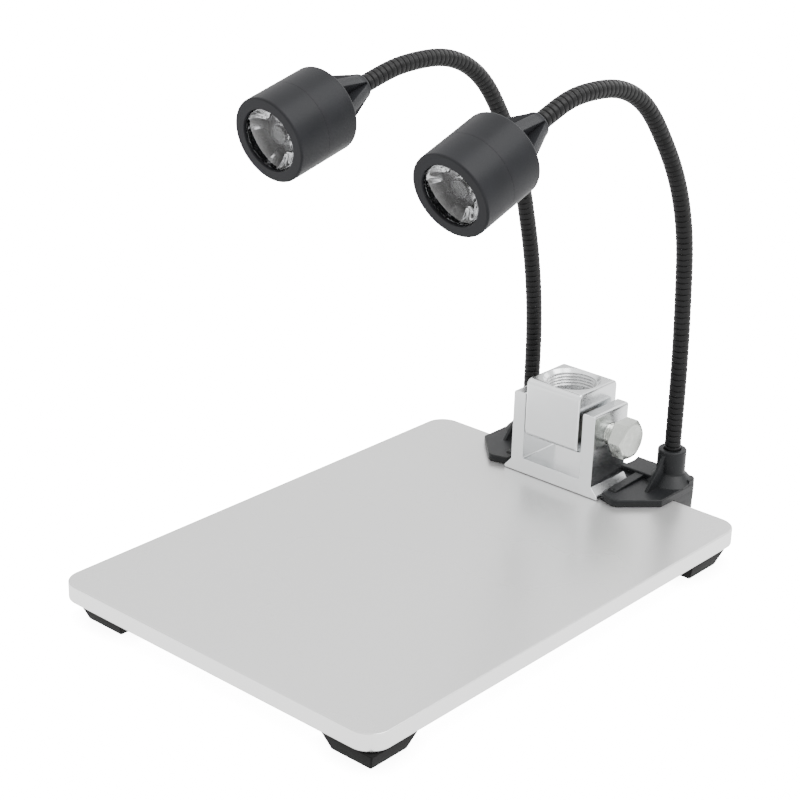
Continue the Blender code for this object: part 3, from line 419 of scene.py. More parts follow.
def combined(mesh, tools, operation):
    """The mesh with the tools cut from it or joined to it, worked out once and left with no modifier."""
    helpers = [linked("helper", tool) for tool in (mesh, *tools)]
    target = helpers[0]
    for helper in helpers[1:]:
        modifier = target.modifiers.new("combine", "BOOLEAN")
        modifier.operation = operation
        modifier.solver = "EXACT"
        modifier.object = helper
    bpy.context.view_layer.update()
    result = bmesh.new()
    result.from_object(target, bpy.context.evaluated_depsgraph_get())
    for helper in helpers:
        bpy.data.objects.remove(helper, do_unlink=True)
    return result


def cut(mesh, cutters):
    return combined(mesh, cutters, "DIFFERENCE")


def joined(mesh, others):
    """The mesh with others joined to it one by one, cleaned of slivers after each."""
    for other in others:
        bmesh.ops.triangulate(other, faces=other.faces)
        mesh = combined(mesh, [other], "UNION")
        bmesh.ops.remove_doubles(mesh, verts=mesh.verts, dist=SLIVER)
        bmesh.ops.dissolve_degenerate(mesh, edges=mesh.edges, dist=SLIVER)
    return mesh


def node_middle(node):
    low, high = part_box(node)
    return (low + high) / 2


def add_node(tree, kind, inputs=None, **settings):
    """A new shader node with some of its settings and inputs given."""
    made = tree.nodes.new(kind)
    for name, value in settings.items():
        setattr(made, name, value)
    for socket, value in (inputs or {}).items():
        made.inputs[socket].default_value = value
    return made


def limits(span, low, high):
    """Inputs of a node that brings a span of values to run from low to high."""
    return {"From Min": span[0], "From Max": span[1], "To Min": low, "To Max": high}


# Spans of a value that a material draws on: where noise mostly lies, all of it, and faces turned one way
NOISE_SPAN = (0.3, 0.7)
FULL_SPAN = (0.0, 1.0)
END_SPAN = (0.45, 0.75)
LEAST_ROUGHNESS = 0.02

# Sockets of Blender's colour mix node, which share their names with those of its other kinds
MIX_FACTOR = 0
MIX_FIRST = 6
MIX_SECOND = 7
MIX_RESULT = 2


class Paint:
    """A procedural Principled material, built node by node."""

    def __init__(self, name, colour, roughness, metallic=0.0):
        self.material = bpy.data.materials.new(name)
        self.material.use_nodes = True
        self.tree = self.material.node_tree
        self.shader = self.tree.nodes["Principled BSDF"]
        self.coordinates = add_node(self.tree, "ShaderNodeTexCoord")
        self.colour = colour
        self.roughness = roughness
        self.set("Metallic", metallic)
        self.set("Base Color", (*colour, 1.0))
        self.set("Roughness", roughness)

    def set(self, socket, value):
        self.shader.inputs[socket].default_value = value

    def feed(self, output, socket):
        """Links an output to one of the shader's sockets."""
        self.tree.links.new(output, self.shader.inputs[socket])

    def add(self, kind, output, socket, inputs=None, **settings):
        """A new node with an output linked to one of its sockets."""
        made = add_node(self.tree, kind, inputs, **settings)
        self.tree.links.new(output, made.inputs[socket])
        return made

    def noise(self, scale, detail=2.0, stretch=(1.0, 1.0, 1.0)):
        place = self.coordinates.outputs["Object"]
        mapping = self.add("ShaderNodeMapping", place, "Vector", {"Scale": stretch})
        sizes = {"Scale": scale, "Detail": detail}
        return self.add("ShaderNodeTexNoise", mapping.outputs["Vector"], "Vector", sizes).outputs["Fac"]

    def facing(self, axis):
        """How squarely the surface faces along one of the piece's own axes, from 0 to 1."""
        split = self.add("ShaderNodeSeparateXYZ", self.coordinates.outputs["Normal"], "Vector")
        return self.add("ShaderNodeMath", split.outputs[axis], 0, operation="ABSOLUTE").outputs["Value"]

    def sum(self, first, second):
        made = self.add("ShaderNodeMath", first, 0, operation="ADD")
        self.tree.links.new(second, made.inputs[1])
        return made.outputs["Value"]

    def ranged(self, value, low, high, span=NOISE_SPAN):
        return self.add("ShaderNodeMapRange", value, "Value", limits(span, low, high)).outputs["Result"]

    def tint(self, value, dark, light, span=NOISE_SPAN):
        """Base colour between dark and light times the paint's own colour."""
        colours = {}
        for socket, share in ((MIX_FIRST, dark), (MIX_SECOND, light)):
            colours[socket] = (*(min(1.0, part * share) for part in self.colour), 1.0)
        factor = self.ranged(value, 0.0, 1.0, span)
        mix = self.add("ShaderNodeMix", factor, MIX_FACTOR, colours, data_type="RGBA")
        self.feed(mix.outputs[MIX_RESULT], "Base Color")

    def vary_roughness(self, value, spread):
        low = max(LEAST_ROUGHNESS, self.roughness - spread)
        self.feed(self.ranged(value, low, self.roughness + spread), "Roughness")

    def bump(self, value, distance, strength):
        made = self.add("ShaderNodeBump", value, "Height", {"Distance": distance, "Strength": strength})
        self.feed(made.outputs["Normal"], "Normal")


def blasted_aluminium():
    """Fine blasted grain on the faces; the milled sides are painted lighter than the top, a painted sheen
    for the light's glare on them.
    """
    paint = Paint("plate_blasted_aluminium", (0.70, 0.70, 0.695), roughness=0.28, metallic=0.75)
    grain = paint.noise(scale=4200.0)
    clouds = paint.noise(scale=11.0, detail=3.0)
    speckle = paint.ranged(grain, -0.12, 0.12)
    # Painted sheen: faces that turn away from up are painted lighter, for the glare of light on the milled
    # sides.
    edges = paint.ranged(paint.facing("Z"), 1.0, 0.17)
    paint.tint(paint.sum(speckle, edges), dark=0.94, light=1.38, span=FULL_SPAN)
    paint.vary_roughness(clouds, spread=0.04)
    paint.bump(grain, distance=0.00003, strength=0.5)
    return paint.material


def worked_aluminium(name, polished, sawn):
    """An aluminium section: bright drawn sides, and satin ends with the saw's fine marks."""
    paint = Paint(name, (0.774, 0.787, 0.794), roughness=sawn, metallic=1.0)
    marks = paint.noise(scale=1100.0, detail=3.0, stretch=(0.04, 1.0, 1.0))
    clouds = paint.noise(scale=70.0, detail=3.0)
    ends = paint.ranged(paint.facing("Y"), 0.0, 0.85, END_SPAN)
    pale = paint.sum(ends, paint.ranged(clouds, 0.0, 0.15))
    paint.tint(pale, dark=0.90, light=1.16, span=FULL_SPAN)
    finish = paint.ranged(paint.facing("Y"), polished, sawn, END_SPAN)
    paint.feed(paint.sum(finish, paint.ranged(marks, -0.04, 0.04)), "Roughness")
    paint.bump(marks, distance=0.000002, strength=0.3)
    return paint.material


def thread_aluminium():
    """Cut thread, streaked along the cutter's way."""
    paint = Paint("thread_cut_aluminium", (0.60, 0.605, 0.61), roughness=0.28, metallic=0.70)
    streaks = paint.noise(scale=700.0, stretch=(1.0, 1.0, 4.0))
    paint.tint(streaks, dark=0.90, light=1.05)
    paint.vary_roughness(streaks, spread=0.07)
    return paint.material


def zinc_steel():
    """Zinc plating on the hinge bolt, slightly green and cloudy."""
    paint = Paint("bolt_zinc_steel", (0.58, 0.60, 0.565), roughness=0.30, metallic=0.92)
    crystals = paint.noise(scale=420.0, detail=4.0)
    clouds = paint.noise(scale=90.0, detail=3.0)
    paint.tint(clouds, dark=0.88, light=1.08)
    paint.vary_roughness(crystals, spread=0.08)
    paint.bump(crystals, distance=0.00003, strength=0.3)
    return paint.material


def screw_steel():
    """Plainer zinc plating on the screws."""
    paint = Paint("screw_zinc_steel", (0.52, 0.53, 0.53), roughness=0.30, metallic=0.95)
    crystals = paint.noise(scale=600.0, detail=3.0)
    paint.tint(crystals, dark=0.90, light=1.06)
    paint.vary_roughness(crystals, spread=0.06)
    return paint.material


def black_rubber():
    """Moulded rubber: dull, grainy and uneven."""
    paint = Paint("foot_black_rubber", (0.0070, 0.0070, 0.0070), roughness=0.55)
    paint.set("Specular IOR Level", 0.06)
    grain = paint.noise(scale=2600.0, detail=3.0)
    clouds = paint.noise(scale=120.0, detail=3.0)
    paint.tint(clouds, dark=0.8, light=1.25)
    paint.vary_roughness(grain, spread=0.07)
    paint.bump(grain, distance=0.00006, strength=0.4)
    return paint.material


def black_moulding(name, colour, specular, fineness):
    """Fine-grained black plastic."""
    paint = Paint(name, colour, roughness=0.40)
    paint.set("Specular IOR Level", specular)
    grain = paint.noise(scale=fineness)
    clouds = paint.noise(scale=70.0, detail=3.0)
    paint.tint(clouds, dark=0.88, light=1.12)
    paint.vary_roughness(clouds, spread=0.04)
    paint.bump(grain, distance=0.00004, strength=0.35)
    return paint.material


def hose_black():
    """The thin black coat on the hoses' ribs."""
    paint = Paint("hose_black_coat", (0.0085, 0.0085, 0.0088), roughness=0.38)
    paint.set("Specular IOR Level", 0.15)
    grain = paint.noise(scale=1800.0)
    clouds = paint.noise(scale=160.0, detail=3.0)
    paint.tint(clouds, dark=0.8, light=1.25)
    paint.vary_roughness(clouds, spread=0.06)
    paint.bump(grain, distance=0.00003, strength=0.3)
    return paint.material


def clear_lens():
    """Clear moulded silicone with a trace of haze."""
    paint = Paint("lens_clear_silicone", (0.61, 0.615, 0.63), roughness=0.03)
    haze = paint.noise(scale=240.0)
    paint.vary_roughness(haze, spread=0.012)
    paint.set("Transmission Weight", 1.0)
    paint.set("IOR", 1.39)
    return paint.material


def plain_detail(name, colour, roughness, scale, spread, metallic=0.0):
    """A small hidden or inner part: its colour and gloss vary a little."""
    paint = Paint(name, colour, roughness, metallic)
    clouds = paint.noise(scale, detail=3.0)
    paint.tint(clouds, dark=1 - spread, light=1 + spread)
    paint.vary_roughness(clouds, spread=0.05)
    paint.bump(clouds, distance=0.00003, strength=0.25)
    return paint.material


PLATE = blasted_aluminium()
EXTRUSION = worked_aluminium("extrusion_satin_aluminium", polished=0.22, sawn=0.34)
MILLED = worked_aluminium("block_milled_aluminium", polished=0.20, sawn=0.34)
THREAD = thread_aluminium()
ZINC = zinc_steel()
SCREW = screw_steel()
RUBBER = black_rubber()
MOULDING = black_moulding("mount_black_moulding", (0.0106, 0.0112, 0.0122), specular=0.20, fineness=2200.0)
SHELL = black_moulding("lamp_black_moulding", (0.0150, 0.0154, 0.0174), specular=0.11, fineness=2600.0)
HOSE = hose_black()
LENS = clear_lens()
GLOSS = plain_detail("holder_gloss_black", (0.016, 0.016, 0.017), 0.16, 200.0, spread=0.15)
PHOSPHOR = plain_detail("led_phosphor", (0.055, 0.060, 0.045), 0.25, 900.0, spread=0.10)
BOARD = plain_detail("led_board_dark", (0.020, 0.020, 0.020), 0.40, 300.0, spread=0.06)
CIRCUIT = plain_detail("junction_board_green", (0.03, 0.16, 0.07), 0.40, 300.0, spread=0.15)
SINK = plain_detail("heat_sink_turned", (0.70, 0.70, 0.70), 0.32, 500.0, spread=0.06, metallic=0.95)
FIBRE = plain_detail("washer_pressed_fibre", (0.30, 0.28, 0.25), 0.60, 700.0, spread=0.15)


# Plate: its edges, and the screw wells under it
PLATE_EDGE = 0.0006
PLATE_CORNER_STEPS = 16
PLATE_EDGE_STEPS = 4
WELL_GAP = 0.0005
WELL_HEIGHT = 0.0040
WELL_SIDES = 40


def build_plate():
    corners = rounded(PLATE_WIDTH, PLATE_LENGTH, PLATE_CORNER, PLATE_CORNER_STEPS)
    outline = [(x, y + PLATE_Y) for x, y in corners]
    mesh = slab(outline, PLATE_BOTTOM, PLATE_TOP, PLATE_EDGE, steps=PLATE_EDGE_STEPS)
    wells = []
    for name in ("bracket_screw_right", "bracket_screw_left", "mount_screw_right", "mount_screw_left"):
        low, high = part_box(name)
        middle = (low + high) / 2
        radius = (high.x - low.x) / 2 + WELL_GAP
        well = turned(((0.0, radius), (PLATE_BOTTOM + WELL_HEIGHT, radius)), WELL_SIDES)
        wells.append(shifted(well, middle.x, middle.y, 0.0))
    piece("plate", cut(mesh, wells), PLATE, "base", ("base_plate",))


# Screws: head height and shank radius of the bracket's and of all others, then shares of the head
LARGE_SCREW = (0.0030, 0.0025)
SMALL_SCREW = (0.0020, 0.0015)
SCREW_SIDES = 48
HEAD_EDGE = 0.16
HEAD_ROUNDING = 0.3
HEX_SHARE = 0.42
HEX_DEPTH = 0.55
HEX_BEVEL_DEPTH = 0.5
HEX_BEVEL = 1.22


def socket_screw(head_radius, head_height, shank_radius, length):
    """A socket-head screw pointing up, with its head's face at zero."""
    edge = head_height * HEAD_EDGE
    rounding = edge * HEAD_ROUNDING
    flat = head_radius * HEX_SHARE
    rings = []
    for along in (head_height * HEX_DEPTH, edge * HEX_BEVEL_DEPTH):
        rings.append(ring_of(along, SCREW_SIDES, lambda angle: hexagon_radius(flat, angle)))
    outside = (
        (0.0, flat * HEX_BEVEL),
        (0.0, head_radius - edge),
        (rounding, head_radius - rounding),
        (edge, head_radius),
        (head_height, head_radius),
        (head_height, shank_radius),
        (length, shank_radius),
    )
    for along, radius in outside:
        rings.append(circle(along, radius, SCREW_SIDES))
    return skin(rings)


def build_screws():
    """Screws seen from below, each standing for its CAD node."""
    for name in sorted(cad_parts):
        if "screw" not in name:
            continue
        low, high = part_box(name)
        middle = node_middle(name)
        head, shank = LARGE_SCREW if name.startswith("bracket") else SMALL_SCREW
        mesh = socket_screw((high.x - low.x) / 2, head, shank, high.z - low.z)
        shifted(mesh, middle.x, middle.y, low.z)
        piece(f"{name}_detail", mesh, SCREW, "base", (name,))


# Feet: the screw well, the corners, the sole's soft edge as (set in, height) pairs, and the top
FOOT_WELL_RADIUS = 0.0032
FOOT_WELL_BEVEL = 0.0004
FOOT_CORNER = 0.0007
FOOT_CORNER_STEPS = 12
SOLE_EDGE = ((0.0010, 0.0), (0.00045, 0.00012), (0.0, 0.0006))
FOOT_BEVEL = 0.0004
FOOT_BRIM = 0.0006


def foot_square(side, along, corner):
    return [Vector((x, y, along)) for x, y in rounded(side, side, corner, FOOT_CORNER_STEPS)]


def foot_circle(radius, along):
    """A circle with a point for each of the square's, a little short of full quarters."""
    shortened = 0.98
    start = 0.9
    ring = []
    for quarter in range(4):
        for step in range(FOOT_CORNER_STEPS + 1):
            turn = 90 * (quarter + shortened * step / FOOT_CORNER_STEPS) + start
            angle = math.radians(turn)
            ring.append(Vector((radius * math.cos(angle), radius * math.sin(angle), along)))
    return ring


def build_feet():
    """Tapered square feet: a screw well in the sole, soft lower edges, crisp corners."""
    slope = (FOOT_TOP - FOOT_SOLE) / FOOT_HEIGHT
    rings = [
        foot_circle(FOOT_WELL_RADIUS, FOOT_WELL_DEPTH),
        foot_circle(FOOT_WELL_RADIUS, FOOT_WELL_BEVEL),
        foot_circle(FOOT_WELL_RADIUS + FOOT_WELL_BEVEL, 0.0),
    ]
    for drop, along in SOLE_EDGE:
        rings.append(foot_square(FOOT_SOLE + slope * along - drop, along, FOOT_CORNER))
    rings.append(foot_square(FOOT_TOP - slope * FOOT_BEVEL, FOOT_HEIGHT - FOOT_BEVEL, FOOT_CORNER))
    rings.append(foot_square(FOOT_TOP - FOOT_BRIM, FOOT_HEIGHT, FOOT_BRIM))
    for corner in ("front_right", "front_left", "rear_right", "rear_left"):
        middle = node_middle(f"foot_{corner}")
        mesh = shifted(skin(rings), middle.x, middle.y, 0.0)
        piece(f"rubber_foot_{corner}", mesh, RUBBER, "base", (f"foot_{corner}",))


# Bracket: fillets of the section from the toe's foot to the web, its sawn edges, and the bolt's hole
TOE_FOOT_FILLET = 0.0004
TOE_LIP_FILLET = 0.0005
TOE_FILLET = 0.0006
LEG_FILLET = 0.0012
WEB_FILLET = 0.0006
BRACKET_EDGE = 0.00025
HINGE_HOLE = 0.0054
HOLE_REACH = 0.04
HOLE_SIDES = 64


def build_bracket():
    """A sawn length of extrusion, bored for the bolt."""
    half = [
        (BRACKET_TOE, 0.0, TOE_FOOT_FILLET),
        (BRACKET_TOE, TOE_LIP, TOE_LIP_FILLET),
        (BRACKET_SIDE, TOE_HEIGHT, TOE_FILLET),
        (BRACKET_SIDE, BRACKET_HEIGHT, LEG_FILLET),
        (LEG_INSIDE, BRACKET_HEIGHT, LEG_FILLET),
        (LEG_INSIDE, BRACKET_WEB, WEB_FILLET),
    ]
    outline = eased_loop(half + [(-x, z, radius) for x, z, radius in reversed(half)])
    outline = [(-x, z) for x, z in reversed(outline)]
    mesh = slab(outline, -BRACKET_DEPTH / 2, BRACKET_DEPTH / 2, BRACKET_EDGE, along_y)
    shifted(mesh, 0.0, BRACKET_Y, BRACKET_BOTTOM)
    hole = laid_along_x(turned(((-HOLE_REACH, HINGE_HOLE), (HOLE_REACH, HINGE_HOLE)), HOLE_SIDES))
    shifted(hole, *HINGE)
    piece("bracket_extrusion", cut(mesh, [hole]), EXTRUSION, "base", ("column_bracket",))


# Socket block: fillets, edges, the bore's sides, and the thread as a sleeve let into the bore
BLOCK_TOP_FILLET = 0.0028
BLOCK_BOTTOM_FILLET = 0.0050
BLOCK_FILLET_STEPS = 10
BLOCK_EDGE = 0.0009
BORE_SIDES = 96
BORE_GAP = 0.0001
MOUTH_OVERRUN = 0.0040
THREAD_TURNS = 4.5
THREAD_STEPS = 45
THREAD_FADE = 4
THREAD_SHARP = 40
SLEEVE_WALL = 0.0002
SLEEVE_ROOT = 0.0003


def build_block():
    """The milled block with the column's threaded socket."""
    outline = eased_loop([
        (BLOCK_HALF_DEPTH, BLOCK_UP, BLOCK_TOP_FILLET),
        (-BLOCK_HALF_DEPTH, BLOCK_UP, BLOCK_TOP_FILLET),
        (-BLOCK_HALF_DEPTH, -BLOCK_DOWN, BLOCK_BOTTOM_FILLET),
        (BLOCK_HALF_DEPTH, -BLOCK_DOWN, BLOCK_BOTTOM_FILLET),
    ], BLOCK_FILLET_STEPS)
    mesh = slab(outline, -BLOCK_SIDE, BLOCK_SIDE, BLOCK_EDGE, along_x)
    shifted(mesh, *HINGE)
    top = HINGE.z + BLOCK_UP
    floor = top - SOCKET_DEPTH
    neck = top - (MOUTH - THREAD_MAJOR)
    wall = THREAD_MAJOR + BORE_GAP
    profile = ((top + MOUTH_OVERRUN, MOUTH + MOUTH_OVERRUN), (neck, wall), (floor, wall))
    bore = turned(profile, BORE_SIDES)
    shifted(bore, HINGE.x, HINGE.y, 0.0)
    piece("block_milled", cut(mesh, [bore]), MILLED, "socket", ("socket_block",))
    build_socket_thread(neck, floor)


def build_socket_thread(top, floor):
    """The bore's wall: a helical thread and a plain relief below it, let into the block's floor."""
    relief = (THREAD_MINOR + THREAD_MAJOR) / 2

    def thread_ring(step):
        along = top - THREAD_TURNS * THREAD_PITCH * step / THREAD_STEPS
        fade = min(1.0, step / THREAD_FADE, (THREAD_STEPS - step) / THREAD_FADE)

        def radius_at(angle):
            cut_away = between(THREAD_MINOR, THREAD_MAJOR, tooth(along, angle, THREAD_PITCH))
            return between(relief, cut_away, fade)

        return ring_of(along, BORE_SIDES, radius_at)

    rings = [thread_ring(step) for step in range(THREAD_STEPS + 1)]
    root = floor - SLEEVE_ROOT
    outside = THREAD_MAJOR + SLEEVE_WALL
    for along, radius in ((root, relief), (root, outside), (top, outside)):
        rings.append(circle(along, radius, BORE_SIDES))
    mesh = shifted(skin(rings, hollow=True), HINGE.x, HINGE.y, 0.0)
    piece("block_thread", mesh, THREAD, "socket", sharp=THREAD_SHARP)


# Hinge bolt: the head's chamfer, face and washer face, and the thread with its plain end
BOLT_SIDES = 96
BOLT_SHARP = 24
CHAMFER_SLOPE = math.tan(math.radians(30))
BOLT_FACE = 0.94 * BOLT_FLAT
FACE_BEVEL = 0.0001
FACE_RINGS = (0.0009, 0.0003)
HEAD_BEVEL = 0.0002
WASHER_FACE = 0.93 * BOLT_FLAT
WASHER_FOOT = 0.92 * BOLT_FLAT
WASHER_HEIGHT = 0.0003
BOLT_PITCH = 0.0015
BOLT_PITCH_STEPS = 8
BOLT_THREAD_DEPTH = 0.0007
BOLT_THREAD_CURVE = 1.2
BOLT_THREAD_START = 0.0008
BOLT_THREAD_END = LEG_INSIDE + 0.003
BOLT_CORE = BOLT_RADIUS - 0.0006
BOLT_END_BEVEL = 0.001
BOLT_END = BOLT_END_BEVEL - BRACKET_SIDE


def bolt_circle(along, radius):
    return circle(along, radius, BOLT_SIDES)


def bolt_hexagon(along, back=0.0):
    """A ring of the head's sides, set in by back, with a corner at its start."""
    turn = math.pi / 6
    return ring_of(along, BOLT_SIDES, lambda angle: hexagon_radius(BOLT_FLAT, angle + turn) - back)


def bolt_head(head, under):
    """Rings of the hex head from its face to its washer face."""
    bevel = head - FACE_BEVEL
    chamfer = bolt_hexagon(0.0)
    for corner in chamfer:
        corner.z = bevel - (corner.length - BOLT_FACE) * CHAMFER_SLOPE
    return [
        *(bolt_circle(head, BOLT_FACE - back) for back in FACE_RINGS),
        bolt_circle(bevel, BOLT_FACE),
        chamfer,
        bolt_hexagon(under + HEAD_BEVEL),
        bolt_hexagon(under, HEAD_BEVEL),
        bolt_circle(under, WASHER_FACE),
        bolt_circle(under - WASHER_HEIGHT, WASHER_FOOT),
        bolt_circle(under - WASHER_HEIGHT, BOLT_RADIUS),
    ]


def bolt_thread(start, end):
    """Rings of the helical thread on the shank."""

    def thread_ring(along):
        def radius_at(angle):
            groove = (1 - tooth(along, angle, BOLT_PITCH)) ** BOLT_THREAD_CURVE
            return BOLT_RADIUS - BOLT_THREAD_DEPTH * groove

        return ring_of(along, BOLT_SIDES, radius_at)

    steps = int((start - end) / BOLT_PITCH * BOLT_PITCH_STEPS)
    return [thread_ring(between(start, end, step / steps)) for step in range(steps + 1)]


def build_bolt():
    """Hex head with a turned chamfer, and a helical thread on the shank that shows."""
    under = BRACKET_SIDE + BOLT_STANDOFF
    rings = bolt_head(under + BOLT_HEAD, under)
    rings += bolt_thread(under - BOLT_THREAD_START, BOLT_THREAD_END)
    rings.append(bolt_circle(BOLT_THREAD_END, BOLT_CORE))
    rings.append(bolt_circle(BOLT_END + BOLT_END_BEVEL, BOLT_CORE))
    rings.append(bolt_circle(BOLT_END, BOLT_CORE - BOLT_END_BEVEL))
    mesh = shifted(laid_along_x(skin(rings)), *HINGE)
    piece("bolt_hex", mesh, ZINC, "bolt", ("hinge_bolt",), sharp=BOLT_SHARP)


# Lamp mount: its solids are set back by different steps and rooted at different depths, so that no two
# of them share a plane
MOUNT_STEP = 0.00004
CHEEK_STEP = MOUNT_STEP
BAND_STEP = 2 * MOUNT_STEP
FOOT_STEP = 3 * MOUNT_STEP
HANGER_STEP = 4 * MOUNT_STEP
BAND_ROOT = 0.0015
RIDGE_ROOT = 0.0012
GUSSET_ROOT = 0.0018
CONE_ROOT = 0.0009

# Fillets and edges of the mount
MOUNT_CORNER_STEPS = 6
NOTCH_STEPS = 14
NOSE_INNER_FILLET = 0.0010
NOSE_FILLET = 0.0040
DIAGONAL_FILLET = 0.0012
FLOOR_EDGE = 0.0006
FLOOR_LOW_EDGE = 0.0002
BAND_EDGE = 0.0006
RIDGE_FILLET = 0.0012
RIDGE_EDGE = 0.0005
GUSSET_EDGE = 0.0003
GUSSET_INSIDE = 0.0050
CONE_FOOT_FILLET = 0.0004
CONE_TOP_FILLET = 0.0016
TUBE_FILLET = 0.0008
TUBE_MOUTH_FILLET = 0.0006
TUBE_STEPS = 6
TUBE_SIDES = 96
WALLS_DEPTH = 0.060
HOSE_GAP = 0.0001

# The hanger's walls, and its lower edge as (height, set in) pairs
HANGER_WALL = 0.0021
HANGER_CORNER = 0.0010
HANGER_ROOF = -0.0014
HANGER_BEVEL = 0.0003
HANGER_EDGE = ((0.0, 0.0005), (0.0002, 0.0002), (0.0006, 0.0))


def notch_arc(y_from, y_to, back=0.0):
    """Points of the round notch behind the bracket, on its right side, cut wider by back."""
    points = []
    for step in range(NOTCH_STEPS + 1):
        y = between(y_from, y_to, step / NOTCH_STEPS)
        points.append((math.sqrt((NOTCH_RADIUS + back) ** 2 - (y - NOTCH_BACK) ** 2), y))
    return points


def rear_corner(back):
    """The mount's round rear corner on the right side, set back a little from the outer walls."""
    centre = (MOUNT_SIDE - MOUNT_CORNER, MOUNT_BACK - MOUNT_CORNER)
    return corner_arc(centre, MOUNT_CORNER - back, 0, 90, MOUNT_CORNER_STEPS)


def floor_outline():
    """The floor's outline on the right side: a nose with a raked front, a diagonal and a straight wall."""
    diagonal = MOUNT_SIDE - MOUNT_NOSE - MOUNT_FRONT
    nose = eased([
        (MOUNT_INSIDE, SEAT_GAP, 0),
        (MOUNT_INSIDE, NOSE_RAKE - MOUNT_FRONT, NOSE_INNER_FILLET),
        (MOUNT_NOSE, -MOUNT_FRONT, NOSE_FILLET),
        (MOUNT_SIDE, diagonal, DIAGONAL_FILLET),
        (MOUNT_SIDE, MOUNT_BACK - MOUNT_CORNER, 0),
    ], MOUNT_CORNER_STEPS)
    return nose[1:-1] + rear_corner(0.0) + notch_arc(MOUNT_BACK, SEAT_GAP) + [(MOUNT_INSIDE, SEAT_GAP)]


def cheek_outline():
    """What closes the side between the floor and the hanger."""
    front = SEAT_GAP + CHEEK_STEP
    notch = notch_arc(MOUNT_BACK - CHEEK_STEP, front, CHEEK_STEP)
    return [(MOUNT_SIDE - CHEEK_STEP, front)] + rear_corner(CHEEK_STEP) + notch


def band_outline():
    """The raised band behind the tube."""
    front = [
        (MOUNT_INSIDE, BAND_BACK),
        (TUBE_SIDE, BAND_BACK),
        (TUBE_SIDE, OUTER_BAND_BACK),
        (MOUNT_SIDE - BAND_STEP, OUTER_BAND_BACK),
    ]
    return front + rear_corner(BAND_STEP) + notch_arc(MOUNT_BACK - BAND_STEP, BAND_BACK, BAND_STEP)


def ridge_outline():
    """The ridge along the wing's inner side, seen from that side."""
    end = BAND_BACK + RIDGE_SIDE - MOUNT_INSIDE
    return eased_loop([
        (-RIDGE_FRONT, RIDGE_ROOT, 0),
        (end, RIDGE_ROOT, 0),
        (end, RIDGE_BACK_TOP, 0),
        (-RIDGE_FRONT, RIDGE_FRONT_TOP, RIDGE_FILLET),
    ])


def flared_tube():
    """The upright tube on its flared foot, without what would stand out of the rear and side walls."""
    seat = HOSE_RADIUS + HOSE_GAP
    profile = eased([
        (CONE_ROOT, CONE_RADIUS, 0),
        (MOUNT_FLOOR, CONE_RADIUS, CONE_FOOT_FILLET),
        (CONE_TOP, TUBE_RADIUS, CONE_TOP_FILLET),
        (TUBE_TOP, TUBE_RADIUS, TUBE_FILLET),
        (TUBE_TOP, seat, TUBE_MOUTH_FILLET),
        (TUBE_TOP - HOSE_SEAT, seat, 0),
    ], TUBE_STEPS)
    tube = shifted(turned(profile, TUBE_SIDES), TUBE_SIDE, TUBE_BACK, 0.0)
    corners = rounded(2 * (MOUNT_SIDE - FOOT_STEP), WALLS_DEPTH, MOUNT_CORNER, MOUNT_CORNER_STEPS)
    walls = [(x, y + MOUNT_BACK - FOOT_STEP - WALLS_DEPTH / 2) for x, y in corners]
    return combined(tube, [slab(walls, 0.0, 2 * TUBE_TOP)], "INTERSECT")


def mount_wing():
    """The right half of the moulding above the plate: floor, band, ridge, flared tube and gusset."""
    rear = TUBE_BACK - GUSSET_INSIDE
    gusset = [
        (-GUSSET_FRONT, GUSSET_ROOT),
        (rear, GUSSET_ROOT),
        (rear, GUSSET_TOP),
        (GUSSET_TOP_BACK, GUSSET_TOP),
    ]
    inner = TUBE_SIDE - GUSSET_SIDE
    outer = TUBE_SIDE + GUSSET_SIDE
    return joined(
        slab(floor_outline(), SEAT_GAP, MOUNT_FLOOR, FLOOR_EDGE, low_edge=FLOOR_LOW_EDGE),
        [
            slab(band_outline(), BAND_ROOT, MOUNT_RIM, BAND_EDGE, low_edge=0.0),
            slab(ridge_outline(), MOUNT_INSIDE + MOUNT_STEP, RIDGE_SIDE, RIDGE_EDGE, along_x),
            flared_tube(),
            slab(gusset, inner, outer, GUSSET_EDGE, along_x),
        ],
    )


def mount_hanger():
    """The box behind the plate: four walls open at the bottom, under a roof that bridges the notch."""
    depth = MOUNT_BACK - SEAT_GAP
    middle = (MOUNT_BACK + SEAT_GAP) / 2

    def box(back, corner):
        corners = rounded(2 * (MOUNT_SIDE - back), depth - 2 * back, corner, MOUNT_CORNER_STEPS)
        return [(x, y + middle) for x, y in corners]

    outer = box(HANGER_STEP, MOUNT_CORNER)
    inner = box(HANGER_WALL, HANGER_CORNER)
    rings = [
        level(inner, HANGER_ROOF),
        level(inner, HANGER_BEVEL - MOUNT_DROP),
        level(inner, -MOUNT_DROP, -HANGER_BEVEL),
    ]
    for height, distance in HANGER_EDGE:
        rings.append(level(outer, height - MOUNT_DROP, distance))
    rings.append(level(outer, MOUNT_BRIDGE - HANGER_BEVEL))
    rings.append(level(outer, MOUNT_BRIDGE, HANGER_BEVEL))
    return skin(rings)


def build_mount():
    """The moulding: two wings with soft edges over a hollow hanger that bridges the notch."""
    wing = mount_wing()
    cheek = slab(cheek_outline(), CHEEK_FOOT, CHEEK_TOP)
    mesh = joined(mount_hanger(), [reflected(cheek), cheek, reflected(wing), wing])
    shifted(mesh, 0.0, PLATE_REAR, PLATE_TOP)
    piece("mount_moulding", mesh, MOULDING, "base", ("lamp_mount",))


# The mount's cover and grommet
COVER_CORNER = 0.0009
COVER_CORNER_STEPS = 5
COVER_EDGE = 0.0003
GROMMET_BORE = 0.0012
GROMMET_NECK = 0.0019
GROMMET_RADIUS = 0.0033
GROMMET_LIP = 0.0012
GROMMET_START = 0.0010
GROMMET_FILLETS = (0.0002, 0.0006, 0.0005)
GROMMET_SIDES = 40


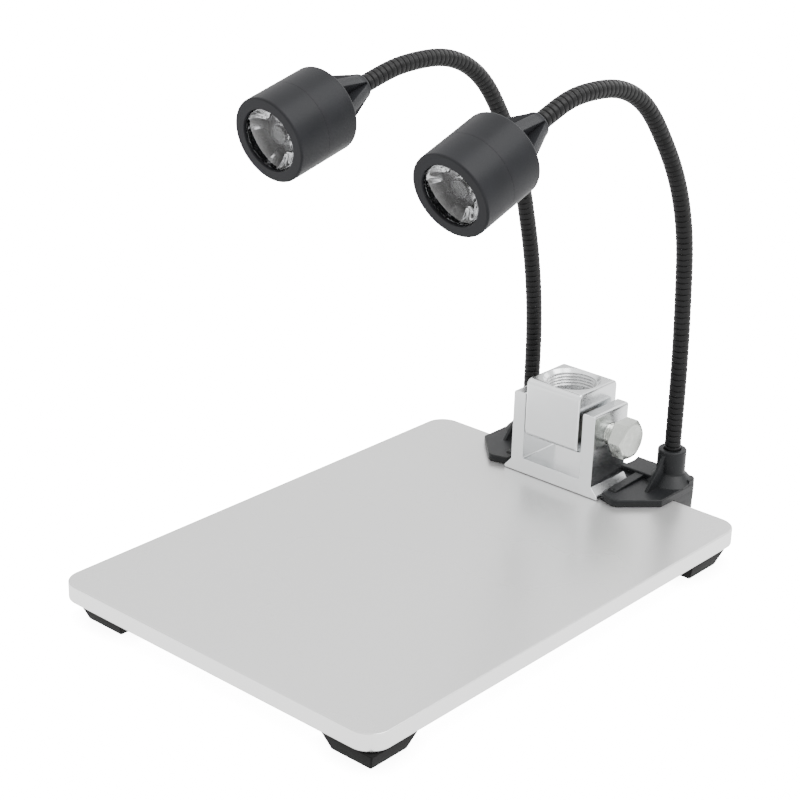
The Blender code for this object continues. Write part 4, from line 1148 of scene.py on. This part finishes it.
def build_mount_cover():
    low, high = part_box("mount_cover")
    middle = node_middle("mount_cover")
    outline = rounded(high.x - low.x, high.y - low.y, COVER_CORNER, COVER_CORNER_STEPS)
    mesh = shifted(slab(outline, low.z, high.z, COVER_EDGE), middle.x, middle.y, 0.0)
    piece("mount_bottom_cover", mesh, MOULDING, "base", ("mount_cover",))


def build_grommet():
    low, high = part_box("lead_grommet")
    middle = node_middle("lead_grommet")
    lip = high.y - GROMMET_LIP
    behind, outside, mouth = GROMMET_FILLETS
    profile = eased([
        (low.y, GROMMET_BORE, 0),
        (low.y, GROMMET_NECK, 0),
        (lip, GROMMET_NECK, 0),
        (lip, GROMMET_RADIUS, behind),
        (high.y, GROMMET_RADIUS, outside),
        (high.y, GROMMET_BORE, mouth),
        (low.y + GROMMET_START, GROMMET_BORE, 0),
    ])
    mesh = laid_along_y(turned(profile, GROMMET_SIDES, hollow=True))
    shifted(mesh, middle.x, 0.0, middle.z)
    piece("lead_grommet_ring", mesh, RUBBER, "base", ("lead_grommet",))


# Hoses: the ribs, each half of one as (share of the pitch, share of the rise) pairs, and the bore
HOSE_CREST = 0.0039
HOSE_GROOVE = 0.0034
HOSE_BORE = 0.0022
HOSE_SIDES = 32
HOSE_SHARP = 60
RIB_PITCH = 0.00286
RIB_RISE = ((0.04, 0.15), (0.08, 0.60), (0.13, 0.85), (0.22, 0.97), (0.36, 1.00))
RIB_SHAPE = RIB_RISE + tuple((1 - share, rise) for share, rise in reversed(RIB_RISE))
BORE_RIBS = 3

# Hoses: how the CAD's bends are eased, and distances before and after each joint at which points are found
# but not used
ROUTE_STEP = 0.00025
BEND_EASE = 0.0080
EASE_ROUNDS = 2
BEND_REACH = ((0.012, 0.022), (0.026, 0.026), (0.026, 0.026), (0.026, 0.0085), (0.0085, 0.0085))


def smoothed(values, reach, rounds):
    """A running mean, repeated, with the ends held."""
    width = 2 * reach + 1
    for _ in range(rounds):
        held = [values[0]] * reach + values + [values[-1]] * reach
        values = [sum(held[index : index + width]) / width for index in range(len(values))]
    return values


def lean_on(course, distance):
    """The lean from upright at a distance along a course of (length, turn) stretches."""
    lean = 0.0
    for length, turn in course:
        step = min(distance, length)
        lean += turn * step / length
        distance -= step
    return lean


class Route:
    """The line of one hose: the CAD's straights and arcs with their joins eased into one another."""

    def __init__(self, side, lengths, turns):
        self.foot = Vector((side * TUBE_SIDE, PLATE_REAR + TUBE_BACK, PLATE_TOP + TUBE_TOP - HOSE_SEAT))
        straight = 2 * HOSE_RADIUS
        course = [(HOSE_SEAT + HOSE_STUB, 0.0)]
        self.joints = [HOSE_SEAT + HOSE_STUB]
        for length, turn in zip(lengths, turns):
            course += [(straight, 0.0), (length - 2 * straight, math.radians(turn)), (straight, 0.0)]
            self.joints.append(self.joints[-1] + length)
        course.append((HOSE_TIP + HOSE_SEAT, 0.0))
        self.length = self.joints[-1] + HOSE_TIP + HOSE_SEAT
        self.count = int(round(self.length / ROUTE_STEP))
        self.step = self.length / self.count
        leans = [lean_on(course, index * self.step) for index in range(self.count + 1)]
        self.leans = smoothed(leans, int(BEND_EASE / ROUTE_STEP), EASE_ROUNDS)
        self.points = self.brought_to(self.trace(leans)[-1])

    def trace(self, leans):
        """(forward, rise) points of a line that leans so at every step."""
        points = [(0.0, 0.0)]
        for first, last in zip(leans, leans[1:]):
            lean = (first + last) / 2
            forward, rise = points[-1]
            points.append((forward + self.step * math.sin(lean), rise + self.step * math.cos(lean)))
        return points

    def brought_to(self, target):
        """The eased line, with what its end misses the target by spread along it."""
        line = self.trace(self.leans)
        missed_forward = target[0] - line[-1][0]
        missed_rise = target[1] - line[-1][1]
        points = []
        for index, (forward, rise) in enumerate(line):
            share = index / self.count
            points.append((forward + missed_forward * share, rise + missed_rise * share))
        return points

    def at(self, distance):
        """Centre, sideways and upward directions of the hose's section at a distance along it."""
        spot = max(0.0, min(self.count, distance / self.step))
        index = min(int(spot), self.count - 1)
        share = spot - index
        forward = between(self.points[index][0], self.points[index + 1][0], share)
        rise = between(self.points[index][1], self.points[index + 1][1], share)
        lean = between(self.leans[index], self.leans[index + 1], share)
        centre = self.foot + Vector((0.0, -forward, rise))
        return centre, Vector((1.0, 0.0, 0.0)), Vector((0.0, math.cos(lean), math.sin(lean)))


def hose_profile(first, last, pitch):
    """(along, radius) points over the ribs of one length, and back along its bore."""
    profile = [(first * pitch, HOSE_BORE), (first * pitch, HOSE_GROOVE)]
    for rib in range(first, last):
        for share, rise in RIB_SHAPE:
            profile.append(((rib + share) * pitch, between(HOSE_GROOVE, HOSE_CREST, rise)))
        profile.append(((rib + 1) * pitch, HOSE_GROOVE))
    profile.append((last * pitch, HOSE_BORE))
    steps = max(2, (last - first) // BORE_RIBS)
    for step in range(1, steps):
        profile.append((between(last, first, step / steps) * pitch, HOSE_BORE))
    return profile


def build_hose(arm, route):
    """Five ribbed lengths, each spanning one joint, that meet in the grooves between ribs."""
    ribs = int(round(route.length / RIB_PITCH))
    pitch = route.length / ribs
    middles = [(first + last) / 2 for first, last in zip(route.joints, route.joints[1:])]
    ends = [0, *(int(round(spot / pitch)) for spot in middles), ribs]
    for index, joint in enumerate(route.joints):
        profile = hose_profile(ends[index], ends[index + 1], pitch)
        mesh = turned(profile, HOSE_SIDES, hollow=True, path=route.at)
        name = f"{arm}_hose_ribs_{index + 1}"
        nodes = [f"{arm}_hose_{length}" for length in HOSES[index]]
        made = piece(name, mesh, HOSE, None, nodes, sharp=HOSE_SHARP)
        before, after = BEND_REACH[index]
        start = route.at(joint - before)[0]
        end = route.at(joint + after)[0]
        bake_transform(made)


# Lamp neck: bevel and bore of its round tip, the rounding into the fins, and points of a fin's half
NECK_BORE = 0.0025
NECK_BEVEL = 0.0003
NECK_ROUNDING = 0.0020
ROUNDING_STEPS = 6
NECK_STEPS = 12
FIN_CREST = (0.0, 0.35, 0.70, 0.93)
FIN_FLANK = (0.03, 0.15, 0.35, 0.60, 0.82)


def fin_sector(outer):
    """(angle, radius) points from the middle of a fin to the foot of the groove beside it."""
    half = FIN_WIDTH / 2
    foot = math.pi / FIN_COUNT
    core = half / math.sin(foot)
    edge = math.asin(half / outer)
    points = [(edge * share, outer) for share in FIN_CREST]
    for share in FIN_FLANK:
        radius = between(outer, core, share)
        points.append((math.asin(half / radius), radius))
    points.append((foot, core))
    return points


def neck_ring(along, outer, plain=None):
    """One cross-section of the neck: six fins of even width, or a plain circle with matching points."""
    right = fin_sector(outer)
    left = [(-angle, radius) for angle, radius in reversed(right[1:-1])]
    points = []
    for index in range(FIN_COUNT):
        middle = 2 * math.pi * index / FIN_COUNT
        for angle, finned in left + right:
            radius = finned if plain is None else plain
            turn = middle + angle
            points.append(Vector((radius * math.cos(turn), radius * math.sin(turn), along)))
    return points


def neck_mesh():
    """A cone of six fins, with wedge-shaped grooves that open from its round tip to the lamp."""
    seat = HOSE_RADIUS + HOSE_GAP
    mouth = seat + NECK_BEVEL
    slope = (NECK_BASE - NECK_TIP) / NECK_LENGTH
    start = NECK_TIP + slope * NECK_ROUNDING
    rings = [
        neck_ring(HOSE_SEAT, start, NECK_BORE),
        neck_ring(HOSE_SEAT, start, seat),
        neck_ring(NECK_BEVEL, start, seat),
        neck_ring(0.0, start, mouth),
    ]
    for step in range(1, ROUNDING_STEPS):
        angle = math.pi / 2 * step / ROUNDING_STEPS
        along = NECK_ROUNDING * (1 - math.cos(angle))
        rings.append(neck_ring(along, start, between(mouth, start, math.sin(angle))))
    for step in range(NECK_STEPS + 1):
        along = between(NECK_ROUNDING, NECK_LENGTH, step / NECK_STEPS)
        rings.append(neck_ring(along, NECK_TIP + slope * along))
    return skin(rings)


# Lamp shells: the neck's hole, the spigot inside the seam, the seam itself, and the fillets
SHELL_SIDES = 128
NECK_HOLE = 0.0055
HOLE_STEP = 0.0001
SPIGOT_GAP = 0.0003
SPIGOT_WALL = 0.0010
SPIGOT_REACH = 0.0030
SPIGOT_ROOT = 0.0012
SEAM_GAP = 0.00003
SEAM_START = 0.0002
SEAM_FILLET = 0.00008
HOLE_FILLET = 0.0003
BACK_FILLET = 0.0012
INNER_FILLET = 0.0005
FRONT_FILLET = 0.0009
APERTURE_FLARE = 0.0003
APERTURE_FILLET = 0.0003
LIP_FILLET = 0.0002
LIP_ROOT_FILLET = 0.0003
REAR_STEPS = 5
FRONT_STEPS = 6


def rear_shell():
    """The rear shell, with a spigot that stands into the front one."""
    seam = SHELL_BACK + SHELL_SEAM
    floor = SHELL_BACK + SHELL_WALL
    inner = SHELL_RADIUS - SHELL_WALL
    outside = inner - SPIGOT_GAP
    inside = outside - SPIGOT_WALL
    profile = eased([
        (floor, NECK_HOLE, 0),
        (SHELL_BACK, NECK_HOLE, HOLE_FILLET),
        (SHELL_BACK, SHELL_RADIUS, BACK_FILLET),
        (seam, SHELL_RADIUS, SEAM_FILLET),
        (seam, outside, 0),
        (seam + SPIGOT_REACH, outside, 0),
        (seam + SPIGOT_REACH, inside, 0),
        (seam - SPIGOT_ROOT, inside, 0),
        (seam - SPIGOT_ROOT - SPIGOT_WALL, inner, 0),
        (floor, inner, INNER_FILLET),
        (floor, NECK_HOLE + HOLE_STEP, 0),
    ], REAR_STEPS)
    return turned(profile, SHELL_SIDES, hollow=True)


def front_shell(lip):
    """The front shell with its rim about the window."""
    seam = SHELL_BACK + SHELL_SEAM
    front = SHELL_BACK + SHELL_LENGTH
    inner = SHELL_RADIUS - SHELL_WALL
    profile = eased([
        (seam + SEAM_GAP, inner, 0),
        (seam + SEAM_GAP, SHELL_RADIUS, SEAM_FILLET),
        (front, SHELL_RADIUS, FRONT_FILLET),
        (front, APERTURE + APERTURE_FLARE, APERTURE_FILLET),
        (lip, APERTURE, LIP_FILLET),
        (lip, inner, LIP_ROOT_FILLET),
        (seam + SEAM_START, inner, 0),
    ], FRONT_STEPS)
    return turned(profile, SHELL_SIDES, hollow=True)


# Lens: a raised face, a flange, a fluted flare and a hollow behind; POLE is the radius of its end discs
LENS_RAISED = 0.0021
RAISED_RADIUS = 0.0130
RAISED_BEVEL = 0.0003
FLANGE_BEVEL = 0.0002
LENS_HOLLOW = 0.0032
LENS_SHARP = 50
CORE_RADIUS = 0.0034
CORE_DRAFT = 0.0004
POLE = 0.0004
FLARE_FOOT = 0.0064
FLARE_MOUTH = 0.0130
FLARE_CURVE = 0.66
FLARE_STEPS = 10
FLUTES = 12
FLUTE_SIDES = 12
FLUTE_DEPTH = 0.075
FLUTE_START = 0.2
FLUTE_RUN = 0.7

# Emitter: a dome in the lens's hollow, with a small raised crown
DOME_SIDES = 64
DOME_LIFT = 0.0002
DOME_GAP = 0.0003
DOME_SHOULDER = 0.0005
DOME_TOP = 0.0001
CROWN_FOOT = 0.0013
CROWN_TOP = 0.0016
DOME_FILLET = 0.0002
SHOULDER_FILLET = 0.0003


def flare_profile(back, flange):
    """(along, radius, share of the full flute) points of the lens's side, from its back to its flange."""
    points = []
    for step in range(1, FLARE_STEPS + 1):
        share = step / FLARE_STEPS
        radius = between(FLARE_FOOT, FLARE_MOUTH, share**FLARE_CURVE)
        fluted = math.sin(math.pi * min(1.0, FLUTE_START + FLUTE_RUN * share))
        points.append((between(back, flange, share), radius, fluted))
    return points


def lens_mesh(face, back, ceiling):
    """A clear collimator, raised into its window and fluted behind."""
    flange = face - LENS_FLANGE
    raised = face + LENS_RAISED
    profile = [
        (ceiling, POLE, 0),
        (ceiling, CORE_RADIUS, 0),
        (back, CORE_RADIUS + CORE_DRAFT, 0),
        (back, FLARE_FOOT, 0),
        *flare_profile(back, flange),
        (flange, LENS_RADIUS, 0),
        (face - FLANGE_BEVEL, LENS_RADIUS, 0),
        (face, LENS_RADIUS - FLANGE_BEVEL, 0),
        (face, RAISED_RADIUS, 0),
        (raised - RAISED_BEVEL, RAISED_RADIUS, 0),
        (raised, RAISED_RADIUS - RAISED_BEVEL, 0),
        (raised, POLE, 0),
    ]

    def fluted_ring(along, radius, fluted):
        def radius_at(angle):
            return radius * (1 - FLUTE_DEPTH * fluted * abs(math.sin(FLUTES / 2 * angle)))

        return ring_of(along, FLUTE_SIDES * FLUTES, radius_at)

    return skin([fluted_ring(*point) for point in profile])


def emitter_mesh(back, ceiling):
    """The emitter's dome in the lens's hollow."""
    foot = back + DOME_LIFT
    shoulder = ceiling - DOME_SHOULDER
    top = ceiling - DOME_TOP
    radius = CORE_RADIUS - DOME_GAP
    profile = eased([
        (foot, POLE, 0),
        (foot, radius, DOME_FILLET),
        (shoulder, radius, SHOULDER_FILLET),
        (shoulder, CORE_RADIUS - CROWN_FOOT, DOME_FILLET),
        (top, CORE_RADIUS - CROWN_TOP, DOME_FILLET),
        (top, POLE, 0),
    ])
    return turned(profile, DOME_SIDES)


def build_lamp(arm, route):
    """Neck, shells, lens and emitter, made along Z from the neck's tip and then set on the hose's end."""
    tip = route.at(route.length - HOSE_SEAT - SEAT_GAP)[0]
    pose = Matrix.Translation(tip) @ Matrix.Rotation(route.leans[-1], 4, "X")
    lip = SHELL_BACK + SHELL_LENGTH - RIM_DEPTH
    face = lip - SEAT_GAP
    back = face - LENS_DEPTH
    ceiling = back + LENS_HOLLOW

    def add(name, mesh, material, nodes=(), sharp=SMOOTH_ANGLE):
        nodes = [f"{arm}_{node}" for node in nodes]
        piece(f"{arm}_{name}", moved(mesh, pose), material, f"{arm}_lamp", nodes, sharp)

    add("neck_finned", neck_mesh(), SHELL, ("lamp_neck",))
    add("shell_rear", rear_shell(), SHELL, ("rear_shell",))
    add("shell_front", front_shell(lip), SHELL, ("front_shell",))
    add("lens_clear", lens_mesh(face, back, ceiling), LENS, ("lens",), LENS_SHARP)
    add("emitter_dome", emitter_mesh(back, ceiling), PHOSPHOR)


def build_arms():
    """Both goosenecks with their lamps."""
    for arm, (side, lengths, turns) in ARMS.items():
        route = Route(side, lengths, turns)
        build_hose(arm, route)
        build_lamp(arm, route)


def dress_inner_nodes():
    """CAD nodes that stay as they are get their materials."""
    finishes = {
        "hinge_washer": FIBRE,
        "junction_board": CIRCUIT,
        "lens_holder": GLOSS,
        "led_board": BOARD,
        "heat_sink": SINK,
    }
    for name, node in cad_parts.items():
        found = [material for key, material in finishes.items() if key in name]
        if name.endswith("_led"):
            found.append(PHOSPHOR)
        if found:
            node.data.materials.clear()
            node.data.materials.append(found[0])


def glow_material(name):
    """Overexposed white with a painted contact shadow: a little darker where something stands close above
    it.
    """
    material = bpy.data.materials.new(name)
    material.use_nodes = True
    tree = material.node_tree
    tree.nodes.clear()
    # Painted shadow: ambient occlusion dims the glow where something stands close above.
    contact = add_node(tree, "ShaderNodeAmbientOcclusion", {"Distance": CONTACT}, samples=CONTACT_SAMPLES)
    ranged = add_node(tree, "ShaderNodeMapRange", limits(CONTACT_SPAN, GLOW * CONTACT_SHARE, GLOW))
    glow = add_node(tree, "ShaderNodeEmission", {"Color": (1.0, 1.0, 1.0, 1.0)})
    output = add_node(tree, "ShaderNodeOutputMaterial")
    tree.links.new(contact.outputs["AO"], ranged.inputs["Value"])
    tree.links.new(ranged.outputs["Result"], glow.inputs["Strength"])
    tree.links.new(glow.outputs["Emission"], output.inputs["Surface"])
    return material


def add_stage(name, mesh):
    """A white surface behind or under the object that is seen, but casts no light of its own."""
    made = linked(name, mesh)
    made.data.materials.append(glow_material(f"{name}_white"))
    made.visible_diffuse = False
    made.visible_glossy = False
    made.visible_transmission = False
    made.visible_volume_scatter = False
    made.visible_shadow = False


def build_world():
    """A soft white surround: brightest above and from the pale floor, calmer at eye level."""
    world = bpy.data.worlds.new("studio")
    world.use_nodes = True
    tree = world.node_tree
    place = add_node(tree, "ShaderNodeTexCoord")
    split = add_node(tree, "ShaderNodeSeparateXYZ")
    height = add_node(tree, "ShaderNodeMapRange", {"From Min": -1.0})
    ramp = add_node(tree, "ShaderNodeValToRGB")
    stops = ramp.color_ramp.elements
    for spot in SURROUND_STEPS:
        stops.new(spot)
    for stop, brightness in zip(stops, SURROUND_LEVELS):
        stop.color = (brightness, brightness, brightness, 1.0)
    background = tree.nodes["Background"]
    background.inputs["Strength"].default_value = SURROUND_STRENGTH
    tree.links.new(place.outputs["Generated"], split.inputs["Vector"])
    tree.links.new(split.outputs["Z"], height.inputs["Value"])
    tree.links.new(height.outputs["Result"], ramp.inputs["Fac"])
    tree.links.new(ramp.outputs["Color"], background.inputs["Color"])
    bpy.context.scene.world = world


def build_lights():
    for settings in SOFT_LIGHTS:
        light = bpy.data.lights.new(settings["name"], "AREA")
        light.size = settings["size"]
        light.energy = settings["power"]
        made = bpy.data.objects.new(settings["name"], light)
        bpy.context.scene.collection.objects.link(made)
        made.location = settings["place"]
        direction = Vector(LIGHT_AIM) - Vector(settings["place"])
        made.rotation_euler = direction.to_track_quat("-Z", "Y").to_euler()


def build_stage():
    """A pale floor, a white surround and soft lights."""
    mesh = bmesh.new()
    bmesh.ops.create_grid(mesh, x_segments=2, y_segments=2, size=FLOOR_HALF)
    add_stage("floor", mesh)
    mesh = bmesh.new()
    bmesh.ops.create_uvsphere(mesh, u_segments=48, v_segments=24, radius=BACKDROP_RADIUS)
    add_stage("backdrop", mesh)
    build_world()
    build_lights()


def build_camera():
    """The photo's view: its direction, its small roll and its lens."""
    azimuth = math.radians(CAMERA_AZIMUTH)
    elevation = math.radians(CAMERA_ELEVATION)
    roll = math.radians(CAMERA_ROLL)
    flat = math.cos(elevation)
    back = Vector((math.sin(azimuth) * flat, -math.cos(azimuth) * flat, math.sin(elevation)))
    right = Vector((0.0, 0.0, 1.0)).cross(back).normalized()
    up = back.cross(right)
    rolled_right = math.cos(roll) * right + math.sin(roll) * up
    rolled_up = math.cos(roll) * up - math.sin(roll) * right
    data = bpy.data.cameras.new("photo")
    data.lens = CAMERA_LENS
    data.sensor_width = SENSOR
    data.clip_start = CAMERA_NEAR
    camera = bpy.data.objects.new("photo", data)
    bpy.context.scene.collection.objects.link(camera)
    matrix = Matrix((rolled_right, rolled_up, back)).transposed().to_4x4()
    matrix.translation = CAMERA_PLACE
    camera.matrix_world = matrix
    bpy.context.scene.camera = camera


build_camera()
build_stage()
build_plate()
build_feet()
build_screws()
build_bracket()
build_block()
build_bolt()
build_mount()
build_mount_cover()
build_grommet()
build_arms()
dress_inner_nodes()
